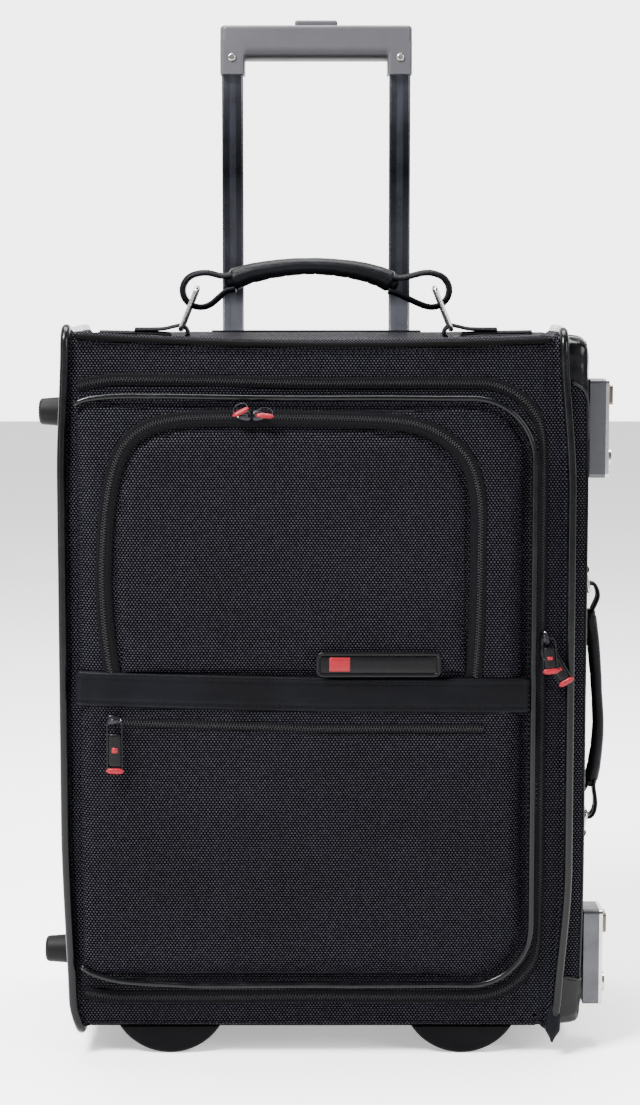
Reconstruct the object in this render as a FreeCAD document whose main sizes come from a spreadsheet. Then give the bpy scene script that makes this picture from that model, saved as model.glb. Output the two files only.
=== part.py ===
import FreeCAD, Part
import Sketcher
import math
import os
import re

# Pilot rolling flight case. Millimetres, +Z up, the door faces -Y.
# Places along X are counted from the middle of the front; centre_x then moves the whole
# case so that the origin is on the floor under the middle of its outer box.

SIZES = {
    # the boxed body
    "centre_x": -8, "board": 4,
    "case_left": -179, "case_right": 185, "case_front": -92, "case_rear": 112,
    "case_bottom": 20, "case_top": 524,
    "divider_y": -62, "divider": 3, "frame_margin": 14,
    # round piping on the edges of the two sides
    "piping": 3.6, "piping_gap": 2.7, "piping_bend": 9,
    # front door
    "door_left": -172, "door_right": 152.7, "door_bottom": 58.3, "door_top": 477.7,
    "door_gap": 0.3, "door_face": -106, "door_bend": 42, "door_bend_left": 14, "door_bead": 2.2,
    # zips: tape, coil and where the coils run
    "tape": 1.4, "tape_wide": 11, "coil": 1.5,
    "main_zip_right": 163.6, "main_zip_top": 491.4, "main_zip_bottom": 44.3,
    "pocket_zip_z": 245, "pocket_zip_left": -145, "pocket_zip_right": 120,
    # upper pocket flap and leather band
    "flap_left": -150, "flap_right": 115, "flap_bottom": 283, "flap_top": 464, "flap_bend": 42,
    "flap_thick": 7,
    "band_bottom": 255, "band_top": 281.2, "band": 2.4,
    "badge_left": 0, "badge_right": 89, "badge_low": 284, "badge_high": 301.5, "badge": 2.2,
    # sliders and pulls
    "slider_long": 10, "slider_wide": 8, "slider_high": 3.4, "slider_gap": 0.3,
    "upper_slider_z": 309, "lower_slider_z": 297.5, "main_pull_long": 27, "main_pull_turn": 32,
    "main_pull_fore": 3.4, "flap_slider_x": -45, "flap_slider_apart": 11, "flap_pull_long": 13,
    "pull_wide": 6, "pull_cap_long": 7, "pull_thick": 2.6,
    "pocket_slider_x": -143, "hang_pull_long": 41, "hang_pull_wide": 11.5, "wire": 0.9,
    # lid on the right side
    "lid_gap": 0.3, "lid_inset": 1.5, "lid_out": 197, "lid_wall": 4, "lid_round": 8,
    "lid_bead": 2, "lid_bead_x": 193.6, "lid_bead_out": 2.2,
    # latches on the lid
    "latch_y": -58, "latch_wide": 30, "latch_long": 71, "latch_high": 11.5, "latch_plate": 2.4,
    "latch_upper_z": 457, "latch_lower_z": 67.5, "latch_knob_high": 3.4,
    # carrying handles
    "handle_y": -10, "handle_grip": 6, "handle_span": 65, "handle_rise": 10,
    "ring_foot_x": 100, "ring_long": 33, "ring_lean": 22, "ring_wide": 24, "ring_wire": 1.6,
    "ring_fit": 0.06, "ring_up": 3.6, "loop_inner": 8.3, "loop_wall": 2.6, "loop_wide": 17,
    "loop_in": 3.5, "loop_down": 0.8,
    "tab_out": 160, "tab_thick": 2.4, "tab_wide": 18,
    "handle_end_up": 38.6, "neck_half": 5.5,
    "side_handle_z": 249, "side_crown_x": 212.5, "side_rise": 5, "side_lean": 10.3,
    "side_ring_long": 16.3, "side_loop_x": 205, "side_loop_out": 82, "side_loop_inner": 5,
    # trolley
    "trolley_y": 95, "tube_apart": 130, "tube_x": 16.6, "tube_y": 11, "tube_wall": 1.4,
    "groove_wide": 5, "groove_deep": 0.5,
    "tube_play": 0.2, "outer_wall": 1.3, "outer_bottom": 60, "inner_bottom": 252,
    "tube_top": 743, "bezel_thick": 1.6, "bezel_half": 82, "bezel_deep": 24, "bracket_high": 12,
    "grip_half": 74.2, "grip_deep": 27, "grip_top": 760, "grip_split": 749, "grip_bottom": 734,
    "grip_wall": 2.6, "leg_wide": 19, "leg_bottom": 723, "grip_round": 7,
    "button_half": 16.5, "button_deep": 13, "button_up": 4.5, "button_play": 0.4,
    "pushrod": 1.6, "lock_pin": 2.5, "lock_pin_z": 268,
    "screw_head": 3.1, "screw_high": 1.6, "screw_z": 735.5,
    # wheels at the back and feet at the front and on the left side
    "wheel_x": 154, "wheel_y": 92, "wheel": 32, "tyre_half": 12, "hub": 25,
    "axle": 3, "axle_fit": 0.05, "bearing": 8, "bearing_half": 2.5, "bearing_apart": 9.4,
    "fork_half": 20, "fork_gap_half": 14, "fork_front": 54, "fork_high": 82, "fork_cheek": 22,
    "fork_wall": 3,
    "stand_left": -107, "stand_right": 106.5, "stand": 43.5, "stand_front": -88, "stand_deep": 34,
    "foot_base": 11, "foot_tip": 9.4, "foot_long": 21, "foot_round": 3,
    "foot_low_z": 71, "foot_high_z": 469, "foot_front_y": -60, "foot_rear_y": 80,
}

AXIS_TURN = {
    "X": FreeCAD.Rotation(FreeCAD.Vector(0, 1, 0), 90),
    "Y": FreeCAD.Rotation(FreeCAD.Vector(1, 0, 0), -90),
    "Z": FreeCAD.Rotation(),
}
SIDES = {"left": -1, "right": 1}

doc = FreeCAD.newDocument("flight_case")
sheet = doc.addObject("Spreadsheet::Sheet", "plan")
for row, (alias, value) in enumerate(SIZES.items(), start=1):
    sheet.set(f"A{row}", alias)
    sheet.set(f"B{row}", str(value))
    sheet.setAlias(f"B{row}", alias)
doc.recompute()

subparts = []


def bound(text):
    """The expression with every alias in it read from the plan."""
    return re.sub(r"[a-z][a-z_]*", lambda m: "plan." + m[0] if m[0] in SIZES else m[0], str(text))


def worth(text):
    """The expression's value now, for choosing edges and first sketch places."""
    value = sheet.evalExpression(bound(text))
    return float(getattr(value, "Value", value))


def placed(item, x, y, z, rotation=None):
    """Puts an object at a place given by three expressions."""
    if rotation:
        item.Placement = FreeCAD.Placement(FreeCAD.Vector(), rotation)
    for letter, text in zip("xyz", (f"centre_x + ({x})", y, z)):
        item.setExpression(f".Placement.Base.{letter}", bound(text))
    return item


def block(name, x, y, z):
    """A box between three (low, high) pairs of expressions."""
    item = doc.addObject("Part::Box", name)
    for side, (low, high) in zip(("Length", "Width", "Height"), (x, y, z)):
        item.setExpression(side, bound(f"({high}) - ({low})"))
    return placed(item, x[0], y[0], z[0])


def rod(name, axis, radius, length, x, y, z):
    """A round bar that starts at the place given and runs along one axis."""
    item = doc.addObject("Part::Cylinder", name)
    item.setExpression("Radius", bound(radius))
    item.setExpression("Height", bound(length))
    return placed(item, x, y, z, AXIS_TURN[axis])


def fused(name, *items):
    item = doc.addObject("Part::MultiFuse", name)
    item.Shapes = list(items)
    item.Refine = True
    return item


def group(name, *items):
    item = doc.addObject("Part::Compound", name)
    item.Links = list(items)
    return item


def without(name, base, *tools):
    item = doc.addObject("Part::Cut", name)
    item.Base = base
    item.Tool = tools[0] if len(tools) == 1 else fused(name + "_tools", *tools)
    return item


def along(edge, axis):
    """Whether a straight edge runs along the named axis."""
    if len(edge.Vertexes) != 2 or not isinstance(edge.Curve, Part.Line):
        return False
    way = edge.Curve.Direction
    return abs(getattr(way, axis.lower())) > 0.999


def eased(name, base, pick):
    """Rounds the edges of base: pick gives a radius for an edge, or nothing."""
    doc.recompute()
    item = doc.addObject("Part::Fillet", name)
    item.Base = base
    radii = [(number, pick(edge)) for number, edge in enumerate(base.Shape.Edges, start=1)]
    item.Edges = [(number, radius, radius) for number, radius in radii if radius]
    return item


def subpart(item, label):
    """Declares the finished object as the piece with this name."""
    item.Label = label
    subparts.append(item)
    return item


def origin_plane(body, role):
    return next(item for item in body.Origin.OriginFeatures if item.Role == role)


def outline(body, name, plane, points):
    """A closed sketch of straight lines through points given as pairs of expressions."""
    sketch = body.newObject("Sketcher::SketchObject", name)
    sketch.AttachmentSupport = [(origin_plane(body, plane), "")]
    sketch.MapMode = "FlatFace"
    spots = [FreeCAD.Vector(worth(u), worth(v), 0) for u, v in points]
    count = len(spots)
    for index, spot in enumerate(spots):
        sketch.addGeometry(Part.LineSegment(spot, spots[(index + 1) % count]), False)
    for index in range(count):
        sketch.addConstraint(Sketcher.Constraint("Coincident", index, 2, (index + 1) % count, 1))
    for index, (u, v) in enumerate(points):
        for kind, text in (("DistanceX", u), ("DistanceY", v)):
            number = sketch.addConstraint(Sketcher.Constraint(kind, -1, 1, index, 1, worth(text)))
            sketch.setExpression(f"Constraints[{number}]", bound(text))
    return sketch


def circle(body, name, plane, radius, u, v):
    """A sketch with one circle, its centre and radius given as expressions."""
    sketch = body.newObject("Sketcher::SketchObject", name)
    sketch.AttachmentSupport = [(origin_plane(body, plane), "")]
    sketch.MapMode = "FlatFace"
    centre = FreeCAD.Vector(worth(u), worth(v), 0)
    sketch.addGeometry(Part.Circle(centre, FreeCAD.Vector(0, 0, 1), worth(radius)), False)
    for kind, text in (("DistanceX", u), ("DistanceY", v)):
        number = sketch.addConstraint(Sketcher.Constraint(kind, -1, 1, 0, 3, worth(text)))
        sketch.setExpression(f"Constraints[{number}]", bound(text))
    number = sketch.addConstraint(Sketcher.Constraint("Radius", 0, worth(radius)))
    sketch.setExpression(f"Constraints[{number}]", bound(radius))
    return sketch


def turned(name, points, x, y, z):
    """A body revolved about X from a half section of (along X, out from the axis) points."""
    body = doc.addObject("PartDesign::Body", name)
    sketch = outline(body, name + "_section", "XZ_Plane", points)
    turn = body.newObject("PartDesign::Revolution", name + "_turn")
    turn.Profile = sketch
    turn.ReferenceAxis = (sketch, ["H_Axis"])
    turn.Angle = 360
    return placed(body, x, y, z)


def tube_loop(name, plane, level, low, high, bends, radius):
    """A closed round tube along a rectangle with round corners.

    The rectangle lies across X (plane "YZ") or across Y (plane "XZ") at the level given.
    bends are the corner radii at low-low, high-low, high-high and low-high.
    """
    first = FreeCAD.Vector(0, 1, 0) if plane == "YZ" else FreeCAD.Vector(1, 0, 0)
    second = FreeCAD.Vector(0, 0, 1)
    normal = first.cross(second)
    spot = (lambda u, v: (level, u, v)) if plane == "YZ" else (lambda u, v: (u, level, v))
    (u_low, v_low), (u_high, v_high) = low, high
    b_ll, b_hl, b_hh, b_lh = bends
    across = plane[0]
    runs = [
        (across, f"({u_high})-({u_low})-({b_ll})-({b_hl})", (f"({u_low})+({b_ll})", v_low)),
        (across, f"({u_high})-({u_low})-({b_lh})-({b_hh})", (f"({u_low})+({b_lh})", v_high)),
        ("Z", f"({v_high})-({v_low})-({b_ll})-({b_lh})", (u_low, f"({v_low})+({b_ll})")),
        ("Z", f"({v_high})-({v_low})-({b_hl})-({b_hh})", (u_high, f"({v_low})+({b_hl})")),
    ]
    pieces = [rod(f"{name}_run_{number}", way, radius, length, *spot(*start))
              for number, (way, length, start) in enumerate(runs)]
    corners = [(u_high, v_high, "-", "-", b_hh), (u_low, v_high, "+", "-", b_lh),
               (u_low, v_low, "+", "+", b_ll), (u_high, v_low, "-", "+", b_hl)]
    for number, (u, v, u_sign, v_sign, bend) in enumerate(corners):
        turn = FreeCAD.Rotation(normal, 90 * number)
        quarter = doc.addObject("Part::Torus", f"{name}_bend_{number}")
        quarter.setExpression("Radius1", bound(bend))
        quarter.setExpression("Radius2", bound(radius))
        quarter.Angle3 = 90
        aim = FreeCAD.Rotation(turn.multVec(first), turn.multVec(second), normal, "ZXY")
        placed(quarter, *spot(f"({u}){u_sign}({bend})", f"({v}){v_sign}({bend})"), aim)
        pieces.append(quarter)
    return fused(name, *pieces)


# ---- the boxed body ----

INNER_X = ("case_left + board", "case_right")
INNER_Y = ("case_front + board", "case_rear - board")
WHOLE_Y = ("case_front", "case_rear")
WHOLE_Z = ("case_bottom", "case_top")

edge_round = worth("board - 0.1")


def fork_span(side):
    """Low and high X of the wheel fork on one side."""
    middle = f"{SIDES[side]}*wheel_x"
    return f"{middle} - fork_half", f"{middle} + fork_half"


def fork_room(name, side):
    """The space that the fork takes out of the boards."""
    return block(name, fork_span(side), ("fork_front", "case_rear + 9"), ("case_bottom - 9", "fork_high"))


def make_boards():
    base = block("base_board", ("case_left", "case_left + board"), WHOLE_Y, WHOLE_Z)
    subpart(eased("base_panel", base, lambda e: edge_round if along(e, "X") else 0), "base_panel")

    floor = block("bottom_board", INNER_X, INNER_Y, ("case_bottom", "case_bottom + board"))
    rooms = [fork_room(f"bottom_room_{side}", side) for side in SIDES]
    subpart(without("bottom_panel", floor, *rooms), "bottom_panel")

    roof = block("top_board", INNER_X, INNER_Y, ("case_top - board", "case_top"))
    holes = [tube_block(f"top_hole_{side}", side, "tube_play + outer_wall",
                        ("case_top - 9", "case_top + 9")) for side in SIDES]
    subpart(without("top_panel", roof, *holes), "top_panel")

    back = block("rear_board", INNER_X, ("case_rear - board", "case_rear"), WHOLE_Z)
    soft_back = eased("rear_soft", back, lambda e: edge_round if outer_edge(e, "case_rear") else 0)
    rooms = [fork_room(f"rear_room_{side}", side) for side in SIDES]
    subpart(without("rear_panel", soft_back, *rooms), "rear_panel")

    face = block("front_board", INNER_X, ("case_front", "case_front + board"), WHOLE_Z)
    soft_face = eased("front_soft", face, lambda e: edge_round if outer_edge(e, "case_front") else 0)
    mouth = block("front_mouth", ("door_left + frame_margin", "door_right - frame_margin"),
                  ("case_front - 9", "case_front + 9"),
                  ("door_bottom + frame_margin", "door_top - frame_margin"))
    subpart(without("front_frame", soft_face, mouth), "front_frame")

    wall = block("divider_panel", INNER_X, ("divider_y", "divider_y + divider"),
                 ("case_bottom + board", "case_top - board"))
    subpart(wall, "divider_panel")


def outer_edge(edge, face):
    """Whether an edge runs along X on the outer face whose Y is named."""
    return along(edge, "X") and abs(edge.CenterOfMass.y - worth(face)) < 0.01


def tube_block(name, side, grow, z):
    """A block of a trolley tube's section, grown all round."""
    middle = f"{SIDES[side]}*tube_apart/2"
    return block(name, (f"{middle} - tube_x/2 - ({grow})", f"{middle} + tube_x/2 + ({grow})"),
                 (f"trolley_y - tube_y/2 - ({grow})", f"trolley_y + tube_y/2 + ({grow})"), z)


def make_pipings():
    low = ("case_front - piping_gap", "case_bottom - piping_gap")
    high = ("case_rear + piping_gap", "case_top + piping_gap")
    bends = ["piping_bend"] * 4
    for label, level in (("base_piping", "case_left - piping_gap"),
                         ("opening_piping", "case_right + piping_gap")):
        subpart(tube_loop(label, "YZ", level, low, high, bends, "piping"), label)


def make_main_zip():
    """A U of tape with its coil, round the top, right and bottom of the door."""
    right, top, low = "main_zip_right", "main_zip_top", "main_zip_bottom"
    y = ("case_front - tape", "case_front")
    tapes = [
        block("zip_tape_top", ("door_left", f"{right} + tape_wide/2"), y,
              (f"{top} - tape_wide/2", f"{top} + tape_wide/2")),
        block("zip_tape_right", (f"{right} - tape_wide/2", f"{right} + tape_wide/2"), y,
              (f"{low} - tape_wide/2", f"{top} + tape_wide/2")),
        block("zip_tape_bottom", ("door_left", f"{right} + tape_wide/2"), y,
              (f"{low} - tape_wide/2", f"{low} + tape_wide/2")),
    ]
    at_y = "case_front - tape - coil"
    bend = "tape_wide"
    runs = [
        rod("coil_top", "X", "coil", f"{right} - door_left - {bend}", "door_left", at_y, top),
        rod("coil_right", "Z", "coil", f"{top} - {low} - 2*{bend}", right, at_y, f"{low} + {bend}"),
        rod("coil_bottom", "X", "coil", f"{right} - door_left - {bend}", "door_left", at_y, low),
        quarter("coil_bend_top", f"{right} - {bend}", at_y, f"{top} - {bend}", bend, 0),
        quarter("coil_bend_low", f"{right} - {bend}", at_y, f"{low} + {bend}", bend, 270),
    ]
    subpart(group("main_zip", fused("main_tape", *tapes), fused("main_coil", *runs)), "main_zip")


def quarter(name, x, y, z, bend, start, thick="coil", sweep=90):
    """A bend of round bar in the XZ plane, from start degrees up from +X."""
    item = doc.addObject("Part::Torus", name)
    item.setExpression("Radius1", bound(bend))
    item.setExpression("Radius2", bound(thick))
    item.Angle3 = sweep
    angle = math.radians(start)
    first = FreeCAD.Vector(math.cos(angle), 0, math.sin(angle))
    second = FreeCAD.Vector(-math.sin(angle), 0, math.cos(angle))
    return placed(item, x, y, z, FreeCAD.Rotation(first, second, first.cross(second), "ZXY"))


def make_feet():
    """Half-moon stands under the front edge and rubber feet on the base side."""
    stands = []
    for side in SIDES:
        disc = rod(f"stand_disc_{side}", "Y", "stand", "stand_deep", f"stand_{side}", "stand_front", "stand")
        below = block(f"stand_cut_{side}", (f"stand_{side} - stand", f"stand_{side} + stand"),
                      ("stand_front", "stand_front + stand_deep"), (0, "case_bottom"))
        moon = doc.addObject("Part::Common", f"stand_moon_{side}")
        moon.Base, moon.Tool = disc, below
        soft = worth("foot_round")
        stands.append(eased(f"stand_{side}_piece", moon,
                            lambda e: 0 if along(e, "X") or along(e, "Y") else soft))
    subpart(group("front_stands", *stands), "front_stands")

    feet = []
    for height in ("foot_low_z", "foot_high_z"):
        for depth in ("foot_front_y", "foot_rear_y"):
            cone = doc.addObject("Part::Cone", f"cone_{height}_{depth}")
            for prop, text in (("Radius1", "foot_base"), ("Radius2", "foot_tip"), ("Height", "foot_long")):
                cone.setExpression(prop, bound(text))
            placed(cone, "case_left", depth, height, FreeCAD.Rotation(FreeCAD.Vector(0, 1, 0), -90))
            tip = worth("centre_x + case_left - foot_long")
            soft = worth("foot_round")
            feet.append(eased(f"foot_{height}_{depth}", cone,
                              lambda e: soft if abs(e.CenterOfMass.x - tip) < 0.1 else 0))
    subpart(group("side_feet", *feet), "side_feet")


# ---- wheels ----

def make_wheel(side):
    middle = f"{SIDES[side]}*wheel_x"
    spot = (middle, "wheel_y", "wheel")
    tyre = [("-tyre_half", "hub"), ("tyre_half", "hub"), ("tyre_half", "wheel - 3"),
            ("tyre_half - 4", "wheel"), ("4 - tyre_half", "wheel"), ("-tyre_half", "wheel - 3")]
    subpart(turned(f"tyre_{side}", tyre, *spot), f"tyre_{side}")

    hub = [("-tyre_half", "hub - 3"), ("-tyre_half", "hub"), ("tyre_half", "hub"), ("tyre_half", "hub - 3"),
           ("3", "hub - 5"), ("3", "bearing + 4"), ("tyre_half", "bearing + 2.5"), ("tyre_half", "bearing"),
           ("-tyre_half", "bearing"), ("-tyre_half", "bearing + 2.5"), ("-3", "bearing + 4"), ("-3", "hub - 5")]
    body = turned(f"hub_{side}", hub, *spot)
    doc.recompute()
    hole = circle(body, f"hub_{side}_window", "YZ_Plane", "2.6", "(bearing + hub)/2 - 0.5", "0")
    pocket = body.newObject("PartDesign::Pocket", f"hub_{side}_hole")
    pocket.Profile = hole
    pocket.Type = 1
    pocket.Midplane = True
    fan = body.newObject("PartDesign::PolarPattern", f"hub_{side}_holes")
    fan.Originals = [pocket]
    fan.Axis = (origin_plane(body, "X_Axis"), [""])
    fan.Angle = 360
    fan.Occurrences = 8
    body.Tip = fan
    subpart(body, f"hub_{side}")

    rings = []
    for number, way in enumerate((-1, 1)):
        shift = f"{middle} + ({way})*bearing_apart"
        race = rod(f"race_{side}_{number}", "X", "bearing", "2*bearing_half", f"{shift} - bearing_half",
                   "wheel_y", "wheel")
        bore = rod(f"bore_{side}_{number}", "X", "axle + axle_fit", "2*bearing_half + 2",
                   f"{shift} - bearing_half - 1", "wheel_y", "wheel")
        rings.append(without(f"ring_{side}_{number}", race, bore))
    subpart(group(f"bearings_{side}", *rings), f"bearings_{side}")


def make_fork(side):
    """A moulded pocket in the corner that holds the wheel between two cheeks."""
    span = fork_span(side)
    middle = f"{SIDES[side]}*wheel_x"
    box = block(f"fork_box_{side}", span, ("fork_front", "case_rear"), ("case_bottom", "fork_high"))
    cheek = rod(f"fork_cheek_{side}", "X", "fork_cheek", "2*fork_half", span[0], "wheel_y", "wheel")
    gap = block(f"fork_gap_{side}", (f"{middle} - fork_gap_half", f"{middle} + fork_gap_half"),
                ("fork_front + fork_wall", "case_rear + 20"), (-5, "fork_high - fork_wall"))
    bore = rod(f"fork_bore_{side}", "X", "axle", "2*fork_half + 2", f"{span[0]} - 1", "wheel_y", "wheel")
    body = fused(f"fork_body_{side}", box, cheek)
    subpart(without(f"wheel_fork_{side}", body, gap, bore), f"wheel_fork_{side}")


def make_axles():
    """Each axle is a bar with a flat head at its ends' faces, flush with the cheeks."""
    bars = [rod(f"axle_{side}", "X", "axle", "2*fork_half", fork_span(side)[0], "wheel_y", "wheel")
            for side in SIDES]
    subpart(group("wheel_axles", *bars), "wheel_axles")


# ---- trolley ----

def rect_tube(name, side, grow, wall, z):
    """A rectangular tube on one side: grow is its outside's growth over the inner tube's."""
    outside = tube_block(name + "_out", side, grow, z)
    inside = tube_block(name + "_in", side, f"({grow}) - ({wall})", (f"({z[0]}) - 1", f"({z[1]}) + 1"))
    corner = worth(wall) * 1.4
    soft = eased(name + "_soft", outside, lambda e: corner if along(e, "Z") else 0)
    return without(name, soft, inside)


def make_trolley_guides():
    tubes = [rect_tube(f"outer_tube_{side}", side, "tube_play + outer_wall", "outer_wall",
                       ("outer_bottom", "case_top")) for side in SIDES]
    subpart(group("outer_tubes", *tubes), "outer_tubes")

    plate = block("bezel_plate", ("-bezel_half", "bezel_half"),
                  ("trolley_y - bezel_deep/2", "trolley_y + bezel_deep/2"),
                  ("case_top", "case_top + bezel_thick"))
    soft = eased("bezel_soft", plate, lambda e: 5 if along(e, "Z") else 0)
    holes = [tube_block(f"bezel_hole_{side}", side, "tube_play", ("case_top - 1", "case_top + 9"))
             for side in SIDES]
    subpart(without("trolley_bezel", soft, *holes), "trolley_bezel")

    subpart(block("trolley_bracket", ("-bezel_half", "bezel_half"),
                  ("trolley_y - bezel_deep/2", "case_rear - board"),
                  ("outer_bottom - bracket_high", "outer_bottom")), "trolley_bracket")


def make_trolley():
    tubes = []
    for side in SIDES:
        tube = rect_tube(f"inner_tube_{side}_bare", side, "0", "tube_wall", ("inner_bottom", "tube_top"))
        middle = f"{SIDES[side]}*tube_apart/2"
        bore = rod(f"pin_hole_{side}", "Y", "lock_pin + 0.15", "tube_y", middle,
                   "trolley_y - tube_y", "lock_pin_z")
        across = (f"{middle} - groove_wide/2", f"{middle} + groove_wide/2")
        grooves = [block(f"groove_{side}_{'back' if face == '+' else 'front'}", across,
                         sorted((f"trolley_y {face} tube_y/2", f"trolley_y {face} (tube_y/2 - groove_deep)"),
                                key=worth), ("inner_bottom - 1", "leg_bottom - 1")) for face in "-+"]
        tubes.append(without(f"inner_tube_{side}", tube, bore, *grooves))
    subpart(group("inner_tubes", *tubes), "inner_tubes")

    wide, deep = ("-grip_half", "grip_half"), ("trolley_y - grip_deep/2", "trolley_y + grip_deep/2")
    room_x = ("grip_wall - grip_half", "grip_half - grip_wall")
    room_y = ("trolley_y - grip_deep/2 + grip_wall", "trolley_y + grip_deep/2 - grip_wall")

    cap = block("grip_cap", wide, deep, ("grip_split", "grip_top"))
    soft_cap = eased("grip_cap_soft", cap, upper_grip_edge)
    slot = block("grip_slot", ("-button_half - button_play", "button_half + button_play"),
                 ("trolley_y - button_deep/2 - button_play", "trolley_y + button_deep/2 + button_play"),
                 ("grip_top - 9", "grip_top + 1"))
    room = block("cap_room", room_x, room_y, ("grip_split - 1", "grip_top - grip_wall"))
    subpart(without("grip_upper_shell", soft_cap, room, slot), "grip_upper_shell")

    bar = block("grip_bar", wide, deep, ("grip_bottom", "grip_split"))
    soft_bar = eased("grip_bar_soft", bar, lower_grip_edge)
    legs = []
    for side in SIDES:
        ends = ("grip_half - leg_wide", "grip_half")
        if side == "left":
            ends = ("-grip_half", "leg_wide - grip_half")
        leg = block(f"grip_leg_{side}", ends, deep, ("leg_bottom", "grip_split - 1"))
        legs.append(eased(f"grip_leg_soft_{side}", leg, lambda e: 3 if along(e, "Z") else 0))
    body = fused("grip_body", soft_bar, *legs)
    room = block("bar_room", room_x, room_y, ("grip_bottom + grip_wall", "grip_split + 1"))
    sockets = [tube_block(f"grip_socket_{side}", side, "0", ("leg_bottom - 1", "grip_split"))
               for side in SIDES]
    subpart(without("grip_lower_shell", body, room, *sockets), "grip_lower_shell")

    screws = []
    for side in SIDES:
        at = f"{SIDES[side]}*tube_apart/2"
        head = rod(f"grip_screw_{side}", "Y", "screw_head", "screw_high", at,
                   "trolley_y - grip_deep/2 - screw_high", "screw_z")
        screws.append(eased(f"grip_screw_soft_{side}", head, round_front))
    subpart(group("grip_screws", *screws), "grip_screws")


def round_front(edge):
    """Rounds a screw head's front rim only."""
    front = worth("trolley_y - grip_deep/2 - screw_high")
    return 1.2 if abs(edge.BoundBox.YMax - front) < 0.01 and edge.BoundBox.ZLength > 1 else 0


def upper_grip_edge(edge):
    """Rounds the upper grip shell's top rim and its four corners."""
    top = worth("grip_top")
    if along(edge, "Z"):
        return 5
    return 3 if abs(edge.CenterOfMass.z - top) < 0.01 else 0


def lower_grip_edge(edge):
    """Rounds the belly of the lower grip shell and its corners."""
    low = worth("grip_bottom")
    if along(edge, "X") and abs(edge.CenterOfMass.z - low) < 0.01:
        return worth("grip_round")
    return 5 if along(edge, "Z") else 0


def make_release():
    """The push button with its yoke, the two rods in the tubes, and the lock pins."""
    yoke_x = ("-tube_apart/2 - 4", "tube_apart/2 + 4")
    cap = block("button_cap", ("-button_half", "button_half"),
                ("trolley_y - button_deep/2", "trolley_y + button_deep/2"),
                ("grip_split + 3", "grip_top + button_up"))
    top = worth("grip_top + button_up")
    soft = eased("button_soft", cap,
                 lambda e: 2 if abs(e.CenterOfMass.z - top) < 0.01 or along(e, "Z") else 0)
    yoke = block("button_yoke", yoke_x, ("trolley_y - 3", "trolley_y + 3"),
                 ("grip_split", "grip_split + 4"))
    subpart(fused("release_button", soft, yoke), "release_button")

    rods = [rod(f"pushrod_{side}", "Z", "pushrod", "grip_split - lock_pin_z - 8",
                f"{SIDES[side]}*tube_apart/2", "trolley_y", "lock_pin_z + 8") for side in SIDES]
    subpart(group("pushrods", *rods), "pushrods")

    for side in SIDES:
        pin = rod(f"pin_{side}", "Y", "lock_pin", "6", f"{SIDES[side]}*tube_apart/2",
                  "trolley_y - tube_y/2 + 0.1", "lock_pin_z")
        subpart(pin, f"lock_pin_{side}")


# ---- front door, its pockets and zips ----

FLAP_BACK = "door_face - door_gap"
FLAP_FACE = "door_face - door_gap - flap_thick"


def corner_bend(edge, bend, other, x_alias):
    """Corner radius of an edge along Y: bend on the side of x_alias, other elsewhere."""
    if not along(edge, "Y"):
        return 0
    near = abs(edge.CenterOfMass.x - worth(f"centre_x + {x_alias}")) < 0.1
    return worth(bend) if near else worth(other)


def make_door():
    slab = block("door_slab", ("door_left", "door_right"), ("door_face", "case_front - door_gap"),
                 ("door_bottom", "door_top"))
    soft = eased("door_panel", slab,
                 lambda e: corner_bend(e, "door_bend", "door_bend_left", "door_right"))
    subpart(soft, "door_panel")

    out = "door_bead + 0.3"
    left_bend, right_bend = f"door_bend_left + {out}", f"door_bend + {out}"
    low = (f"door_left - ({out})", f"door_bottom - ({out})")
    high = (f"door_right + {out}", f"door_top + {out}")
    subpart(tube_loop("door_piping", "XZ", "door_face + door_bead", low, high,
                      [left_bend, right_bend, right_bend, left_bend], "door_bead"), "door_piping")

    subpart(block("leather_band", ("door_left + 1", "door_right - 1"), ("door_face - band", "door_face"),
                  ("band_bottom", "band_top")), "leather_band")

    tape = block("pocket_tape", ("pocket_zip_left", "pocket_zip_right"), ("door_face - tape", "door_face"),
                 ("pocket_zip_z - tape_wide/2", "pocket_zip_z + tape_wide/2"))
    coil = rod("pocket_coil", "X", "coil", "pocket_zip_right - pocket_zip_left", "pocket_zip_left",
               "door_face - tape - coil", "pocket_zip_z")
    subpart(group("lower_zip", tape, coil), "lower_zip")


def flap_slab(name, inset, y):
    """The flap's outline drawn in by inset, between two Y expressions."""
    slab = block(name + "_slab", (f"flap_left + {inset}", f"flap_right - {inset}"), y,
                 ("flap_bottom", f"flap_top - {inset}"))
    bend = worth(f"flap_bend - {inset}")
    top = worth(f"flap_top - {inset}")
    return eased(name, slab, lambda e: bend if along(e, "Y") and abs(e.CenterOfMass.z - top) < 0.1 else 0)


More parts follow.
